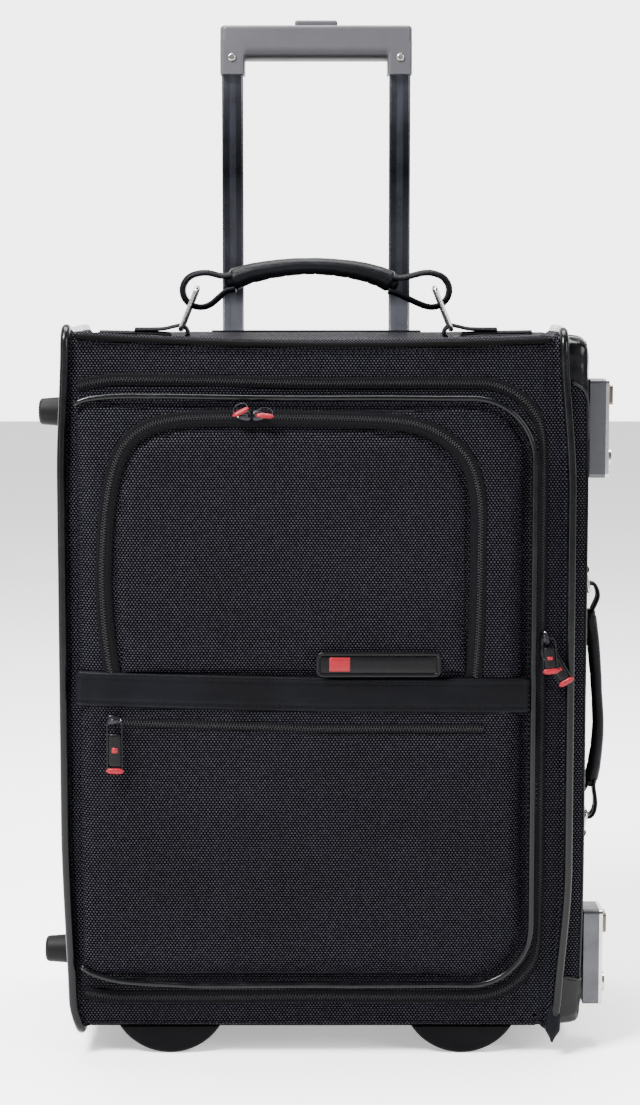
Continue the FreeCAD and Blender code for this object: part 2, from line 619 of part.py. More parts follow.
def make_flap():
    subpart(flap_slab("pocket_flap", "0", (FLAP_FACE, FLAP_BACK)), "pocket_flap")

    face_y = (f"{FLAP_FACE} - tape", FLAP_FACE)
    hoop = flap_slab("flap_tape_outside", "0", face_y)
    middle = flap_slab("flap_tape_inside", "8", (f"{FLAP_FACE} - tape - 1", f"{FLAP_FACE} + 1"))
    tape = without("flap_tape", hoop, middle)
    out, y = "coil + 0.2", f"{FLAP_BACK} - coil - slider_gap"
    bend = f"flap_bend + {out}"
    tall, broad = "flap_top - flap_bend - flap_bottom", "flap_right - flap_left - 2*flap_bend"
    runs = [
        rod("flap_coil_left", "Z", "coil", tall, f"flap_left - ({out})", y, "flap_bottom"),
        rod("flap_coil_right", "Z", "coil", tall, f"flap_right + {out}", y, "flap_bottom"),
        rod("flap_coil_top", "X", "coil", broad, "flap_left + flap_bend", y, f"flap_top + {out}"),
        quarter("flap_coil_bend_right", "flap_right - flap_bend", y, "flap_top - flap_bend", bend, 0),
        quarter("flap_coil_bend_left", "flap_left + flap_bend", y, "flap_top - flap_bend", bend, 90),
    ]
    subpart(group("flap_zip", tape, fused("flap_coil", *runs)), "flap_zip")

    subpart(block("badge", ("badge_left", "badge_right"), (f"{FLAP_FACE} - badge", FLAP_FACE),
                  ("badge_low", "badge_high")), "badge")

    sliders = []
    for side in SIDES:
        middle = f"flap_slider_x + {SIDES[side]}*flap_slider_apart/2"
        sliders.append(slider(f"flap_slider_{side}", middle, f"flap_top + {out}", "X", f"{y} - coil"))
    subpart(group("flap_sliders", *sliders), "flap_sliders")


def slider(name, x, z, way, coil_front):
    """A zip slider in front of the coil: long along the zip's way, with rounded corners."""
    long_x, long_z = ("slider_long", "slider_wide") if way == "X" else ("slider_wide", "slider_long")
    low_z = f"{z} - ({long_z})/2" if way == "Z" else f"{z} - coil"
    high_z = f"{z} + ({long_z})/2" if way == "Z" else f"{z} - coil + slider_wide"
    body = block(name + "_body", (f"{x} - ({long_x})/2", f"{x} + ({long_x})/2"),
                 (f"{coil_front} - slider_gap - slider_high", f"{coil_front} - slider_gap"), (low_z, high_z))
    return eased(name, body, lambda e: 1.6 if along(e, "Y") else 0)


def hanging_pull(name, wide, long, cap_long, spot, rotation=None):
    """A flat pull that hangs from its pivot: a wire frame, an insert and a moulded cap."""
    half = f"({wide})/2"
    bar = tube_loop(name + "_wire", "XZ", "0", (f"wire - {half} - centre_x", f"{cap_long} - ({long})"),
                    (f"{half} - wire - centre_x", "-wire"), ["1.2*wire"] * 4, "wire")
    cap = block(name + "_block", (f"-{half} - centre_x", f"{half} - centre_x"),
                ("-pull_thick/2", "pull_thick/2"), (f"-({long})", f"{cap_long} - ({long}) - wire"))
    soft = eased(name + "_cap", cap, lambda e: 1.2 if along(e, "Y") else 0)
    return placed(group(name, bar, soft), *spot, rotation)


def make_pulls():
    coil_front = "case_front - tape - 2*coil"
    sliders = [slider(f"main_slider_{level}", "main_zip_right", f"{level}_slider_z", "Z", coil_front)
               for level in ("upper", "lower")]
    subpart(group("main_sliders", *sliders), "main_sliders")

    near = f"{coil_front} - slider_gap - slider_high - pull_thick/2 - slider_gap"
    swing = FreeCAD.Rotation(FreeCAD.Vector(0, 1, 0), -worth("main_pull_turn"))
    subpart(hanging_pull("main_pull_lower", "pull_wide + 4", "main_pull_long", "pull_cap_long",
                         ("main_zip_right + 1", near, "lower_slider_z + 3"), swing), "main_pull_lower")
    subpart(hanging_pull("main_pull_upper", "pull_wide + 4", "main_pull_long", "pull_cap_long",
                         ("main_zip_right + 3", f"{near} - main_pull_fore", "upper_slider_z")), "main_pull_upper")

    front = f"{FLAP_BACK} - coil - slider_gap - coil - slider_gap - slider_high - slider_gap - pull_thick/2"
    for side, way in SIDES.items():
        lie = FreeCAD.Rotation(FreeCAD.Vector(0, 1, 0), -90 * way)
        subpart(hanging_pull(f"flap_pull_{side}", "pull_wide", "flap_pull_long", "pull_cap_long + 2",
                             (f"flap_slider_x + {way}*2", f"{front}", "flap_top + pull_wide/2 + 1"), lie),
                f"flap_pull_{side}")

    zip_front = "door_face - tape - 2*coil"
    body = slider("pocket_slider", "pocket_slider_x", "pocket_zip_z", "X", zip_front)
    subpart(body, "pocket_slider")
    ahead = f"{zip_front} - slider_gap - slider_high - pull_thick/2 - slider_gap"
    subpart(hanging_pull("pocket_pull", "hang_pull_wide", "hang_pull_long", "pull_cap_long",
                         ("pocket_slider_x", ahead, "pocket_zip_z + 5")), "pocket_pull")


# ---- lid, latches and carrying handles ----

LID_Y = ("case_front + lid_inset", "case_rear - lid_inset")
LID_Z = ("case_bottom + lid_inset", "case_top - lid_inset")


def lid_edge(edge):
    """Rounds the lid's outer rim, and its corners a little."""
    face = worth("centre_x + lid_out")
    if along(edge, "X"):
        return 4
    return worth("lid_round") if abs(edge.CenterOfMass.x - face) < 0.01 else 0


def make_lid():
    slab = block("lid_slab", ("case_right + lid_gap", "lid_out"), LID_Y, LID_Z)
    room = block("lid_room", ("case_right", "lid_out - lid_wall"),
                 (f"{LID_Y[0]} + lid_wall", f"{LID_Y[1]} - lid_wall"),
                 (f"{LID_Z[0]} + lid_wall", f"{LID_Z[1]} - lid_wall"))
    subpart(without("lid_panel", eased("lid_soft", slab, lid_edge), room), "lid_panel")

    low = (f"{LID_Y[0]} - lid_bead_out", f"{LID_Z[0]} - lid_bead_out")
    high = (f"{LID_Y[1]} + lid_bead_out", f"{LID_Z[1]} + lid_bead_out")
    subpart(tube_loop("lid_piping", "YZ", "lid_bead_x", low, high, ["piping_bend"] * 4, "lid_bead"),
            "lid_piping")


def make_latches():
    y = ("latch_y - latch_wide/2", "latch_y + latch_wide/2")
    top = "lid_out + latch_high"
    housings, plates = [], []
    for level in ("upper", "lower"):
        middle = f"latch_{level}_z"
        z = (f"{middle} - latch_long/2", f"{middle} + latch_long/2")
        box = block(f"latch_box_{level}", ("lid_out", top), y, z)
        housings.append(eased(f"latch_housing_{level}", box, lambda e: 3 if along(e, "X") else 0))
        plate = block(f"latch_face_{level}", (top, f"{top} + latch_plate"), y, z)
        soft = eased(f"latch_face_soft_{level}", plate, lambda e: 3 if along(e, "X") else 0)
        stud = rod(f"latch_stud_{level}", "X", 7, "latch_plate + latch_knob_high - 0.6", top, "latch_y",
                   f"{middle} - 22")
        plates.append(fused(f"latch_plate_{level}", soft, stud))
        at = f"{top} + latch_plate"
        knob = block(f"latch_knob_{level}", (at, f"{at} + latch_knob_high"), ("latch_y - 8", "latch_y + 8"),
                     (f"{middle} + 17", f"{middle} + 31"))
        subpart(eased(f"latch_button_{level}", knob, lambda e: 2 if along(e, "X") else 0),
                f"latch_button_{level}")
    subpart(group("latch_housings", *housings), "latch_housings")
    subpart(group("latch_plates", *plates), "latch_plates")


def wire_ring(name, long, spot, lean):
    """A rectangular wire ring whose foot bar lies along Y at the spot, leaning about Y."""
    ring = tube_loop(name, "YZ", "-centre_x", ("-ring_wide/2", "0"), ("ring_wide/2", long),
                     ["2*ring_wire"] * 4, "ring_wire")
    return placed(ring, *spot, FreeCAD.Rotation(FreeCAD.Vector(0, 1, 0), lean))


def eye(name, inner, wall, x, y, z):
    """A leather eye round a ring's bar: a short tube along Y."""
    outside = rod(name + "_out", "Y", f"{inner} + {wall}", "loop_wide", x, f"{y} - loop_wide/2", z)
    bore = rod(name + "_in", "Y", inner, "loop_wide + 2", x, f"{y} - loop_wide/2 - 1", z)
    return without(name, outside, bore)


def make_top_handle():
    tabs = []
    foot_z = "case_top + ring_up"
    tight = "ring_wire + ring_fit"
    for side, way in SIDES.items():
        foot_x = f"{way}*ring_foot_x"
        ends = sorted((f"{way}*(ring_foot_x + 2.6)", f"{way}*tab_out"), key=worth)
        strip = block(f"tab_strip_{side}", ends, ("handle_y - tab_wide/2", "handle_y + tab_wide/2"),
                      ("case_top", "case_top + tab_thick"))
        hold = eye(f"tab_eye_{side}", tight, "ring_up - ring_wire - ring_fit", foot_x, "handle_y", foot_z)
        tabs.append(fused(f"handle_tab_{side}", strip, hold))
        subpart(wire_ring(f"handle_ring_{side}", "ring_long", (foot_x, "handle_y", foot_z),
                          -way * worth("ring_lean")),
                f"handle_ring_{side}")
    subpart(group("handle_tabs", *tabs), "handle_tabs")

    half, rise = worth("handle_span"), worth("handle_rise")
    arc = "(handle_span*handle_span + handle_rise*handle_rise)/(2*handle_rise)"
    sweep = 2 * math.degrees(math.asin(half / worth(arc)))
    end_z = "case_top + handle_end_up"
    grip = quarter("handle_arc", "0", "handle_y", f"{end_z} + handle_rise - {arc}", arc, 90 - sweep / 2,
                   "handle_grip", sweep)
    pieces = [grip]
    for side, way in SIDES.items():
        top_x = worth("ring_foot_x") - worth("ring_long") * math.sin(math.radians(worth("ring_lean")))
        top_z = worth("ring_up") + worth("ring_long") * math.cos(math.radians(worth("ring_lean")))
        x, z = f"{way}*({top_x:.3f} - loop_in)", f"case_top + {top_z:.3f} - loop_down"
        pieces.append(eye(f"handle_eye_{side}", "loop_inner", "loop_wall", x, "handle_y", z))
        inner_end = f"{top_x:.3f} - loop_in - loop_inner - loop_wall/2"
        ends = sorted((f"{way}*(handle_span - 4)", f"{way}*({inner_end})"), key=worth)
        pieces.append(block(f"handle_neck_{side}", ends, ("handle_y - neck_half", "handle_y + neck_half"),
                            (f"{end_z} - neck_half - 1", f"{end_z} + neck_half - 2")))
    subpart(fused("top_handle", *pieces), "top_handle")


def make_side_handle():
    foot_x = "lid_out + ring_up"
    tabs, pieces = [], []
    arc = "(handle_span*handle_span + side_rise*side_rise)/(2*side_rise)"
    sweep = 2 * math.degrees(math.asin(worth("handle_span") / worth(arc)))
    pieces.append(quarter("side_handle_arc", f"side_crown_x - {arc}", "handle_y", "side_handle_z", arc,
                          -sweep / 2, "handle_grip", sweep))
    for level, way, lean in (("lower", -1, worth("side_lean")), ("upper", 1, 180 - worth("side_lean"))):
        foot_z = f"side_handle_z + {way}*ring_foot_x"
        ends = sorted((f"side_handle_z + {way}*(ring_foot_x + 2.6)",
                       f"side_handle_z + {way}*(ring_foot_x + 40)"),
                      key=worth)
        strip = block(f"side_strip_{level}", ("lid_out", "lid_out + tab_thick"),
                      ("handle_y - tab_wide/2", "handle_y + tab_wide/2"), ends)
        hold = eye(f"side_tab_eye_{level}", "ring_wire + ring_fit", "ring_up - ring_wire - ring_fit",
                   foot_x, "handle_y", foot_z)
        tabs.append(fused(f"side_tab_{level}", strip, hold))
        subpart(wire_ring(f"side_ring_{level}", "side_ring_long", (foot_x, "handle_y", foot_z), lean),
                f"side_ring_{level}")
        z = f"side_handle_z + {way}*side_loop_out"
        pieces.append(eye(f"side_eye_{level}", "side_loop_inner", "loop_wall", "side_loop_x", "handle_y", z))
        ends = sorted((f"side_handle_z + {way}*(handle_span - 4)",
                       f"side_handle_z + {way}*(side_loop_out - side_loop_inner - loop_wall/2)"), key=worth)
        pieces.append(block(f"side_neck_{level}", ("side_loop_x - 3", "side_loop_x + 4"),
                            ("handle_y - neck_half", "handle_y + neck_half"), ends))
    subpart(group("side_tabs", *tabs), "side_tabs")
    subpart(fused("side_handle", *pieces), "side_handle")


def write_out():
    """Checks every object and writes each piece to its own STEP file."""
    doc.recompute()
    for item in doc.Objects:
        if "Invalid" in item.State or "Error" in item.State:
            raise RuntimeError(f"{item.Name} did not compute: {item.State}")
    os.makedirs("parts", exist_ok=True)
    for item in subparts:
        shape = item.Shape
        if shape.isNull() or not shape.isValid() or not shape.Solids:
            raise RuntimeError(f"{item.Label} has no valid solid")
        shape.exportStep(f"parts/{item.Label}.step")
        print(f"{item.Label}: {len(shape.Solids)} solids, {shape.Volume / 1000:.1f} cm3")


make_boards()
make_pipings()
make_main_zip()
make_feet()
for wheel_side in SIDES:
    make_wheel(wheel_side)
    make_fork(wheel_side)
make_axles()
make_trolley_guides()
make_trolley()
make_release()
make_door()
make_flap()
make_pulls()
make_lid()
make_latches()
make_top_handle()
make_side_handle()
write_out()
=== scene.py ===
import math

import bmesh
import bpy
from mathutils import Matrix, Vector, noise
from mathutils.bvhtree import BVHTree


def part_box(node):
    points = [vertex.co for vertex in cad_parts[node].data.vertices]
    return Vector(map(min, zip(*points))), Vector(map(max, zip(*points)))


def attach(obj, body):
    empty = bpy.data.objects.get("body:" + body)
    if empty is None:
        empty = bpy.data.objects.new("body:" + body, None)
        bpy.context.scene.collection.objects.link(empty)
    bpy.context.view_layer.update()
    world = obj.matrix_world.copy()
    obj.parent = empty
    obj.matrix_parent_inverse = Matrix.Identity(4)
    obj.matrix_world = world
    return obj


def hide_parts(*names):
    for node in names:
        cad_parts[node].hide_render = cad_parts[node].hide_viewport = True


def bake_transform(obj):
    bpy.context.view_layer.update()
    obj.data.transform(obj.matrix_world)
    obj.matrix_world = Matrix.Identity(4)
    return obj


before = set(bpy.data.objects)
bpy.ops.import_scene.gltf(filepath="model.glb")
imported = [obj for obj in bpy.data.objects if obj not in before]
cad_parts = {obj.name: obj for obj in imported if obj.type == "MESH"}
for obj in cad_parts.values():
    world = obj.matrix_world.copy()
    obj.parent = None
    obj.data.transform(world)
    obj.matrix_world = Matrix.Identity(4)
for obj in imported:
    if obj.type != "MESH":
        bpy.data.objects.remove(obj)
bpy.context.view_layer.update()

MM = 0.001


def low(node):
    """A CAD node's lowest corner."""
    return Vector(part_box(node)[0])


def high(node):
    """A CAD node's highest corner."""
    return Vector(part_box(node)[1])


def middle_of(node):
    """The middle of a CAD node's box."""
    return (low(node) + high(node)) / 2


def mm(across, back, up):
    """An offset given in millimetres."""
    return Vector((across, back, up)) * MM


def near(origin, *offsets, side=1, way=1):
    """Points in the plane of the front, by their offsets from origin across and up, in millimetres.

    side and way are -1 for the mirrored shape: side turns it left to right, way upside down.
    """
    return [origin + mm(side * across, 0, way * up) for across, up in offsets]


def smooth(start, end, value):
    """0 before start, 1 after end, and a smooth step between."""
    t = min(1.0, max(0.0, (value - start) / (end - start)))
    return t * t * (3 - 2 * t)


# ---- the places that everything else follows ----

FLOOR, FLOOR_HALF = 0.0, 9.0
LEFT, RIGHT = low("base_panel").x, high("front_frame").x
FRONT, REAR = low("front_frame").y, high("rear_panel").y
BOTTOM, TOP = low("front_frame").z, high("front_frame").z
CENTRE = (low("inner_tubes").x + high("inner_tubes").x) / 2
DOOR_LOW, DOOR_HIGH = low("door_panel"), high("door_panel")
FLAP_LOW, FLAP_HIGH = low("pocket_flap"), high("pocket_flap")
BAND_LOW, BAND_HIGH = low("leather_band"), high("leather_band")
LID_LOW, LID_HIGH = low("lid_panel"), high("lid_panel")


# ---- materials ----

class Nodes:
    """A small helper that builds a material's node tree."""

    def __init__(self, name, roughness, **sockets):
        self.material = bpy.data.materials.new(name)
        self.material.use_nodes = True
        self.tree = self.material.node_tree
        self.tree.nodes.clear()
        self.out = self.tree.nodes.new("ShaderNodeOutputMaterial")
        self.shader = self.tree.nodes.new("ShaderNodeBsdfPrincipled")
        self.link(self.shader.outputs["BSDF"], self.out, "Surface")
        self.shader.inputs["Roughness"].default_value = roughness
        for socket, value in sockets.items():
            self.shader.inputs[socket.replace("_", " ")].default_value = value

    def add(self, kind, inputs=(), **settings):
        """A new node; each input is a number, another node's output, or None to leave it."""
        node = self.tree.nodes.new("ShaderNode" + kind)
        for key, value in settings.items():
            setattr(node, key, value)
        for index, value in enumerate(inputs):
            if value is None:
                continue
            if hasattr(value, "links"):
                self.link(value, node, index)
            else:
                node.inputs[index].default_value = value
        return node

    def link(self, value, node, socket):
        """Feeds a value into one of a node's sockets."""
        self.tree.links.new(value, node.inputs[socket])

    def math(self, operation, *values):
        """A value worked out from one or two others."""
        return self.add("Math", values, operation=operation).outputs[0]

    def place(self):
        """The point on the piece, in metres, as the piece was made."""
        return self.add("TexCoord").outputs["Object"]

    def split(self, vector):
        """A vector's x, y and z."""
        return self.add("SeparateXYZ", [vector]).outputs

    def noise(self, scale, detail=3.0, vector=None, rough=0.55):
        """Cloudy noise from 0 to 1."""
        node = self.add("TexNoise")
        self.link(vector or self.place(), node, "Vector")
        node.inputs["Scale"].default_value = scale
        node.inputs["Detail"].default_value = detail
        node.inputs["Roughness"].default_value = rough
        return node.outputs["Fac"]

    def ramp(self, value, *stops):
        """A colour that changes with a value, from (place, colour) stops."""
        node = self.add("ValToRGB", [value])
        ramp = node.color_ramp
        while len(ramp.elements) < len(stops):
            ramp.elements.new(0.5)
        for element, (position, colour) in zip(ramp.elements, stops):
            element.position = position
            element.color = (*colour, 1.0)
        return node.outputs["Color"]

    def span(self, value, low_out, high_out, low_in=0.0, high_in=1.0):
        """A value stretched from one range to another."""
        return self.add("MapRange", [value, low_in, high_in, low_out, high_out]).outputs[0]

    def either(self, test, first, second):
        """The first value, or the second where test is 1."""
        return self.add("Mix", [test, None, first, second], data_type="FLOAT").outputs[0]

    def mix(self, amount, first, second):
        """A colour between two others."""
        node = self.add("Mix", data_type="RGBA")
        for index, value in ((0, amount), (6, first), (7, second)):
            if hasattr(value, "links"):
                self.link(value, node, index)
            else:
                node.inputs[index].default_value = value
        return node.outputs[2]

    def colour(self, value):
        """Sets what drives the base colour."""
        self.link(value, self.shader, "Base Color")

    def rough(self, value):
        """Sets what drives the roughness."""
        self.link(value, self.shader, "Roughness")

    def bump(self, height, distance, strength=1.0, before=None):
        """Fine relief from a height, on top of an earlier relief if there is one."""
        node = self.add("Bump")
        node.inputs["Strength"].default_value = strength
        node.inputs["Distance"].default_value = distance
        self.link(height, node, "Height")
        if before:
            self.link(before, node, "Normal")
        self.link(node.outputs[0], self.shader, "Normal")
        return node.outputs[0]


def weave_height(kit, pitch_u, pitch_v):
    """Staggered raised dots of a coarse weave, on whichever side the surface faces.

    Gives the dots' height from 0 to 1 and a random number for each dot.
    """
    dot_wide, dot_high, unevenness = 0.42, 0.46, 0.35
    coordinates = kit.add("TexCoord")
    x, y, z = kit.split(coordinates.outputs["Object"])[:3]
    nx, ny, nz = [kit.math("ABSOLUTE", v) for v in kit.split(coordinates.outputs["Normal"])[:3]]
    faces_side = kit.math("GREATER_THAN", nx, kit.math("MAXIMUM", ny, nz))
    faces_up = kit.math("GREATER_THAN", nz, kit.math("MAXIMUM", nx, ny))
    across = kit.either(faces_side, x, y)
    upward = kit.either(faces_up, z, y)
    wobble = kit.noise(60.0, 2.0)
    v = kit.math("ADD", kit.math("DIVIDE", upward, pitch_v), kit.math("MULTIPLY", wobble, unevenness))
    row = kit.math("FLOOR", v)
    shift = kit.math("MULTIPLY", kit.math("MODULO", kit.math("ABSOLUTE", row), 2.0), 0.5)
    u = kit.math("ADD", kit.math("DIVIDE", across, pitch_u), shift)
    cell = kit.add("CombineXYZ", [kit.math("FLOOR", u), row, 0.0]).outputs[0]
    du = kit.math("SUBTRACT", kit.math("FRACT", u), 0.5)
    dv = kit.math("SUBTRACT", kit.math("FRACT", v), 0.5)
    ru = kit.math("MULTIPLY", kit.math("MULTIPLY", du, du), 1 / dot_wide ** 2)
    rv = kit.math("MULTIPLY", kit.math("MULTIPLY", dv, dv), 1 / dot_high ** 2)
    height = kit.math("MAXIMUM", kit.math("SUBTRACT", 1.0, kit.math("ADD", ru, rv)), 0.0)
    chance = kit.add("TexWhiteNoise", [cell]).outputs["Value"]
    return height, chance


def nylon(name, dark, light, pitch_u=0.0024, pitch_v=0.00175, rough=0.58, depth=0.0004):
    """Coarse ballistic nylon: dots of thick yarn on a darker ground, each dot's crown painted lighter as a
    painted highlight, faded in patches.
    """
    kit = Nodes(name, rough)
    height, chance = weave_height(kit, pitch_u, pitch_v)
    crown = kit.math("MULTIPLY", height, kit.span(chance, 0.72, 1.0))
    between = tuple((a + b) / 3.6 for a, b in zip(dark, light))
    # Painted highlight: each dot is coloured lighter towards its crown.
    yarn_with_painted_highlight = kit.ramp(crown, (0.0, dark), (0.4, between), (1.0, light))
    fade = kit.span(kit.noise(9.0, 4.0), 0.82, 1.12, 0.3, 0.7)
    shade = kit.add("HueSaturation", [0.5, 1.0, None, 1.0, None])
    kit.link(fade, shade, "Value")
    kit.link(yarn_with_painted_highlight, shade, "Color")
    kit.colour(shade.outputs[0])
    kit.rough(kit.span(crown, rough + 0.12, rough - 0.14))
    kit.link(kit.span(crown, 0.0, 0.15), kit.shader, "Specular IOR Level")
    slub = kit.noise(420.0, 2.0)
    relief = kit.math("ADD", height, kit.math("MULTIPLY", slub, 0.25))
    kit.bump(relief, depth, 0.9)
    return kit.material


def plain_weave(name, dark, light, pitch=0.0007, rough=0.75):
    """A fine flat weave, for tape and lining, each thread's crown painted lighter as a painted highlight.
    """
    kit = Nodes(name, rough, Specular_IOR_Level=0.03)
    height, chance = weave_height(kit, pitch, pitch * 0.8)
    crown = kit.math("MULTIPLY", height, kit.span(chance, 0.6, 1.0))
    # Painted highlight: the crown of each raised thread is coloured lighter.
    kit.colour(kit.ramp(crown, (0.0, dark), (1.0, light)))
    kit.bump(height, 0.0001, 0.6)
    return kit.material


def leather(name, dark, light, rough=0.42, grain=900.0):
    """Soft smooth leather: small pebbles, fine creases and a worn sheen in places."""
    kit = Nodes(name, rough, Specular_IOR_Level=0.055)
    pebble = kit.add("TexVoronoi", feature="DISTANCE_TO_EDGE")
    kit.link(kit.place(), pebble, "Vector")
    pebble.inputs["Scale"].default_value = grain
    skin = kit.span(pebble.outputs["Distance"], 0.0, 1.0, 0.0, 0.22)
    crease = kit.noise(75.0, 6.0, rough=0.7)
    worn = kit.noise(14.0, 4.0)
    kit.colour(kit.ramp(kit.math("MULTIPLY", worn, kit.span(skin, 0.8, 1.0)), (0.3, dark), (0.7, light)))
    sheen = kit.math("ADD", worn, kit.math("MULTIPLY", crease, 0.3))
    kit.rough(kit.span(sheen, rough + 0.14, rough - 0.12, 0.3, 1.0))
    first = kit.bump(skin, 0.00012, 0.45)
    kit.bump(crease, 0.0012, 0.35, before=first)
    return kit.material


def vinyl(name, colour, rough=0.2):
    """Glossy vinyl over cord, with soft ripples and scuffs."""
    kit = Nodes(name, rough, Specular_IOR_Level=0.13)
    ripple = kit.noise(130.0, 3.0)
    scuff = kit.noise(38.0, 6.0, rough=0.75)
    light = tuple(min(1.0, c * 1.9 + 0.002) for c in colour)
    kit.colour(kit.ramp(scuff, (0.35, colour), (0.75, light)))
    kit.rough(kit.span(scuff, rough - 0.04, rough + 0.16, 0.35, 0.75))
    kit.bump(ripple, 0.0006, 0.2)
    return kit.material


def plastic(name, colour, rough=0.45, grain=2600.0, depth=0.00006, gloss=0.1, shaded=None):
    """Moulded plastic with a fine spark-eroded grain and rubbed patches.

    shaded paints shade on to the underside of a bar: its half length, and the heights it fades between.
    """
    kit = Nodes(name, rough, Specular_IOR_Level=gloss)
    fine = kit.noise(grain, 2.0)
    rub = kit.noise(22.0, 5.0, rough=0.7)
    light = tuple(min(1.0, c * 1.5 + 0.001) for c in colour)
    tone = kit.ramp(rub, (0.3, colour), (0.8, light))
    if shaded:
        half, bottom, top = shaded
        x, _, z = kit.split(kit.place())[:3]
        from_middle = kit.math("ABSOLUTE", kit.math("SUBTRACT", x, CENTRE))
        within = kit.span(from_middle, 1.0, 0.0, half - 2 * MM, half)
        # Painted shade under the bar: towards a quarter of its colour below the lower height, fading out by
        # the upper one and past the bar's ends.
        under = kit.math("MULTIPLY", within, kit.span(z, 1.4, 0.0, bottom, top))
        tone = kit.mix(under, tone, (*(c * 0.25 for c in colour), 1.0))
    kit.colour(tone)
    kit.rough(kit.span(rub, rough + 0.08, rough - 0.1, 0.3, 0.8))
    kit.bump(fine, depth, 0.5)
    return kit.material


def metal(name, colour, rough=0.2, brushed=0.0, tarnish=0.1):
    """Plated or brushed metal with light scratches and dull patches."""
    kit = Nodes(name, rough, Metallic=1.0)
    dull = kit.noise(55.0, 5.0, rough=0.7)
    darker = tuple(c * (1 - 2.2 * tarnish) for c in colour)
    kit.colour(kit.ramp(dull, (0.35, colour), (0.85, darker)))
    kit.rough(kit.span(dull, rough, rough + 0.25, 0.3, 0.9))
    scratch = kit.add("Mapping")
    scratch.inputs["Scale"].default_value = (1.0, 1.0, 0.03) if brushed else (1.0, 1.0, 1.0)
    kit.link(kit.place(), scratch, "Vector")
    lines = kit.noise(2400.0 if brushed else 500.0, 3.0, scratch.outputs[0])
    kit.bump(lines, 0.00004, 0.35)
    return kit.material


def tube_metal():
    """Dark anodised tube, brighter along the shallow groove in each face, with painted reflections that
    brighten and darken up its height.
    """
    kit = Nodes("tube_metal", 0.3, Metallic=1.0)
    x, _, z = kit.split(kit.place())[:3]
    half_apart = (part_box("pushrods")[1][0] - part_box("pushrods")[0][0]) / 2 - 1.6 * MM
    from_middle = kit.math("ABSOLUTE", kit.math("SUBTRACT", x, CENTRE))
    off = kit.math("ABSOLUTE", kit.math("SUBTRACT", from_middle, half_apart))
    groove = kit.span(off, 1.0, 0.0, 2.2 * MM, 3.0 * MM)
    worn = kit.noise(26.0, 5.0, rough=0.7)
    edge = kit.mix(worn, (0.0075, 0.008, 0.010, 1.0), (0.012, 0.0125, 0.016, 1.0))
    middle = kit.mix(worn, (0.024, 0.026, 0.034, 1.0), (0.040, 0.043, 0.054, 1.0))
    shaded = kit.mix(groove, edge, middle)
    # Painted reflections: a ramp up the tube's height, brightest just above the case, mixes the colour
    # towards a pale grey.
    climb = kit.span(z, 0.0, 1.0, TOP, TOP + 200 * MM)
    stops = ((0.0, 1.0), (0.1, 0.7), (0.15, 0.05), (0.27, 0.13),
             (0.43, 0.09), (0.62, 0.0), (0.8, 0.04), (0.96, 0.15))
    sheen = kit.ramp(climb, *((place, (amount,) * 3) for place, amount in stops))
    kit.colour(kit.mix(sheen, shaded, (0.26, 0.265, 0.31, 1.0)))
    kit.rough(kit.span(worn, 0.24, 0.42, 0.3, 0.8))
    stretch = kit.add("Mapping")
    stretch.inputs["Scale"].default_value = (1.0, 1.0, 0.03)
    kit.link(kit.place(), stretch, "Vector")
    kit.bump(kit.noise(2400.0, 3.0, stretch.outputs[0]), 0.00004, 0.35)
    return kit.material


# The second colour of the nylon is its painted highlight, on the crowns of the dots.
NYLON = nylon("ballistic_nylon", (0.0002, 0.0002, 0.0004), (0.0160, 0.0149, 0.0218))
# The second colour of each plain weave here and of the thread is its painted highlight, on the crowns of
# the threads.
LINING = plain_weave("lining", (0.008, 0.008, 0.009), (0.024, 0.024, 0.027), 0.0009)
TAPE = plain_weave("zip_tape", (0.0014, 0.0013, 0.0016), (0.0064, 0.0061, 0.0074))
BINDING = plain_weave("binding_tape", (0.0006, 0.0006, 0.0006), (0.0040, 0.0038, 0.0039), 0.0011)
LEATHER = leather("black_leather", (0.0004, 0.0004, 0.0008), (0.0026, 0.0027, 0.0044))
HOUSING = metal("latch_housing", (0.062, 0.063, 0.068), 0.35)
GRIP_LEATHER = leather("grip_leather", (0.0012, 0.0012, 0.0016), (0.0050, 0.0052, 0.0064), 0.34, 700.0)
PIPING = vinyl("piping_vinyl", (0.0008, 0.0009, 0.0012), 0.17)
CORNER = vinyl("corner_vinyl", (0.0009, 0.0009, 0.0012), 0.15)
COIL = plastic("zip_coil", (0.0085, 0.0081, 0.0090), 0.36, gloss=0.08)
BLACK_PLASTIC = plastic("black_plastic", (0.0022, 0.0022, 0.0027), 0.42)
STAND_PLASTIC = plastic("stand_plastic", (0.0008, 0.0008, 0.0011), 0.5, 1400.0, 0.0001, gloss=0.04)
GRIP_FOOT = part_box("grip_lower_shell")[0][2]
# The grip's plastic, with painted shade under its crossbar.
GRIP_PLASTIC = plastic("grip_plastic", (0.030, 0.029, 0.033), 0.4, 1800.0, 0.00008, 0.2,
                       (56 * MM, GRIP_FOOT + 10 * MM, GRIP_FOOT + 21 * MM))
RUBBER = plastic("foot_rubber", (0.0016, 0.0016, 0.0019), 0.55, 1500.0, 0.0001)
TREAD = plastic("tyre_rubber", (0.0045, 0.0045, 0.005), 0.6, 900.0, 0.00015)
TUBE_METAL = tube_metal()
NICKEL = metal("nickel", (0.40, 0.39, 0.375), 0.16)
KNOB_METAL = metal("knob_metal", (0.10, 0.08, 0.068), 0.3)
STEEL = metal("steel", (0.36, 0.36, 0.38), 0.25, brushed=1.0)
DARK_WIRE = metal("dark_wire", (0.017, 0.017, 0.020), 0.34)
GUNMETAL = metal("gunmetal", (0.022, 0.022, 0.025), 0.26)
RED = plastic("red_rubber", (0.115, 0.0030, 0.0068), 0.35, 1500.0, 0.00005, gloss=0.15)
THREAD = plain_weave("thread", (0.0022, 0.0022, 0.0028), (0.010, 0.010, 0.0125), 0.0005, 0.7)
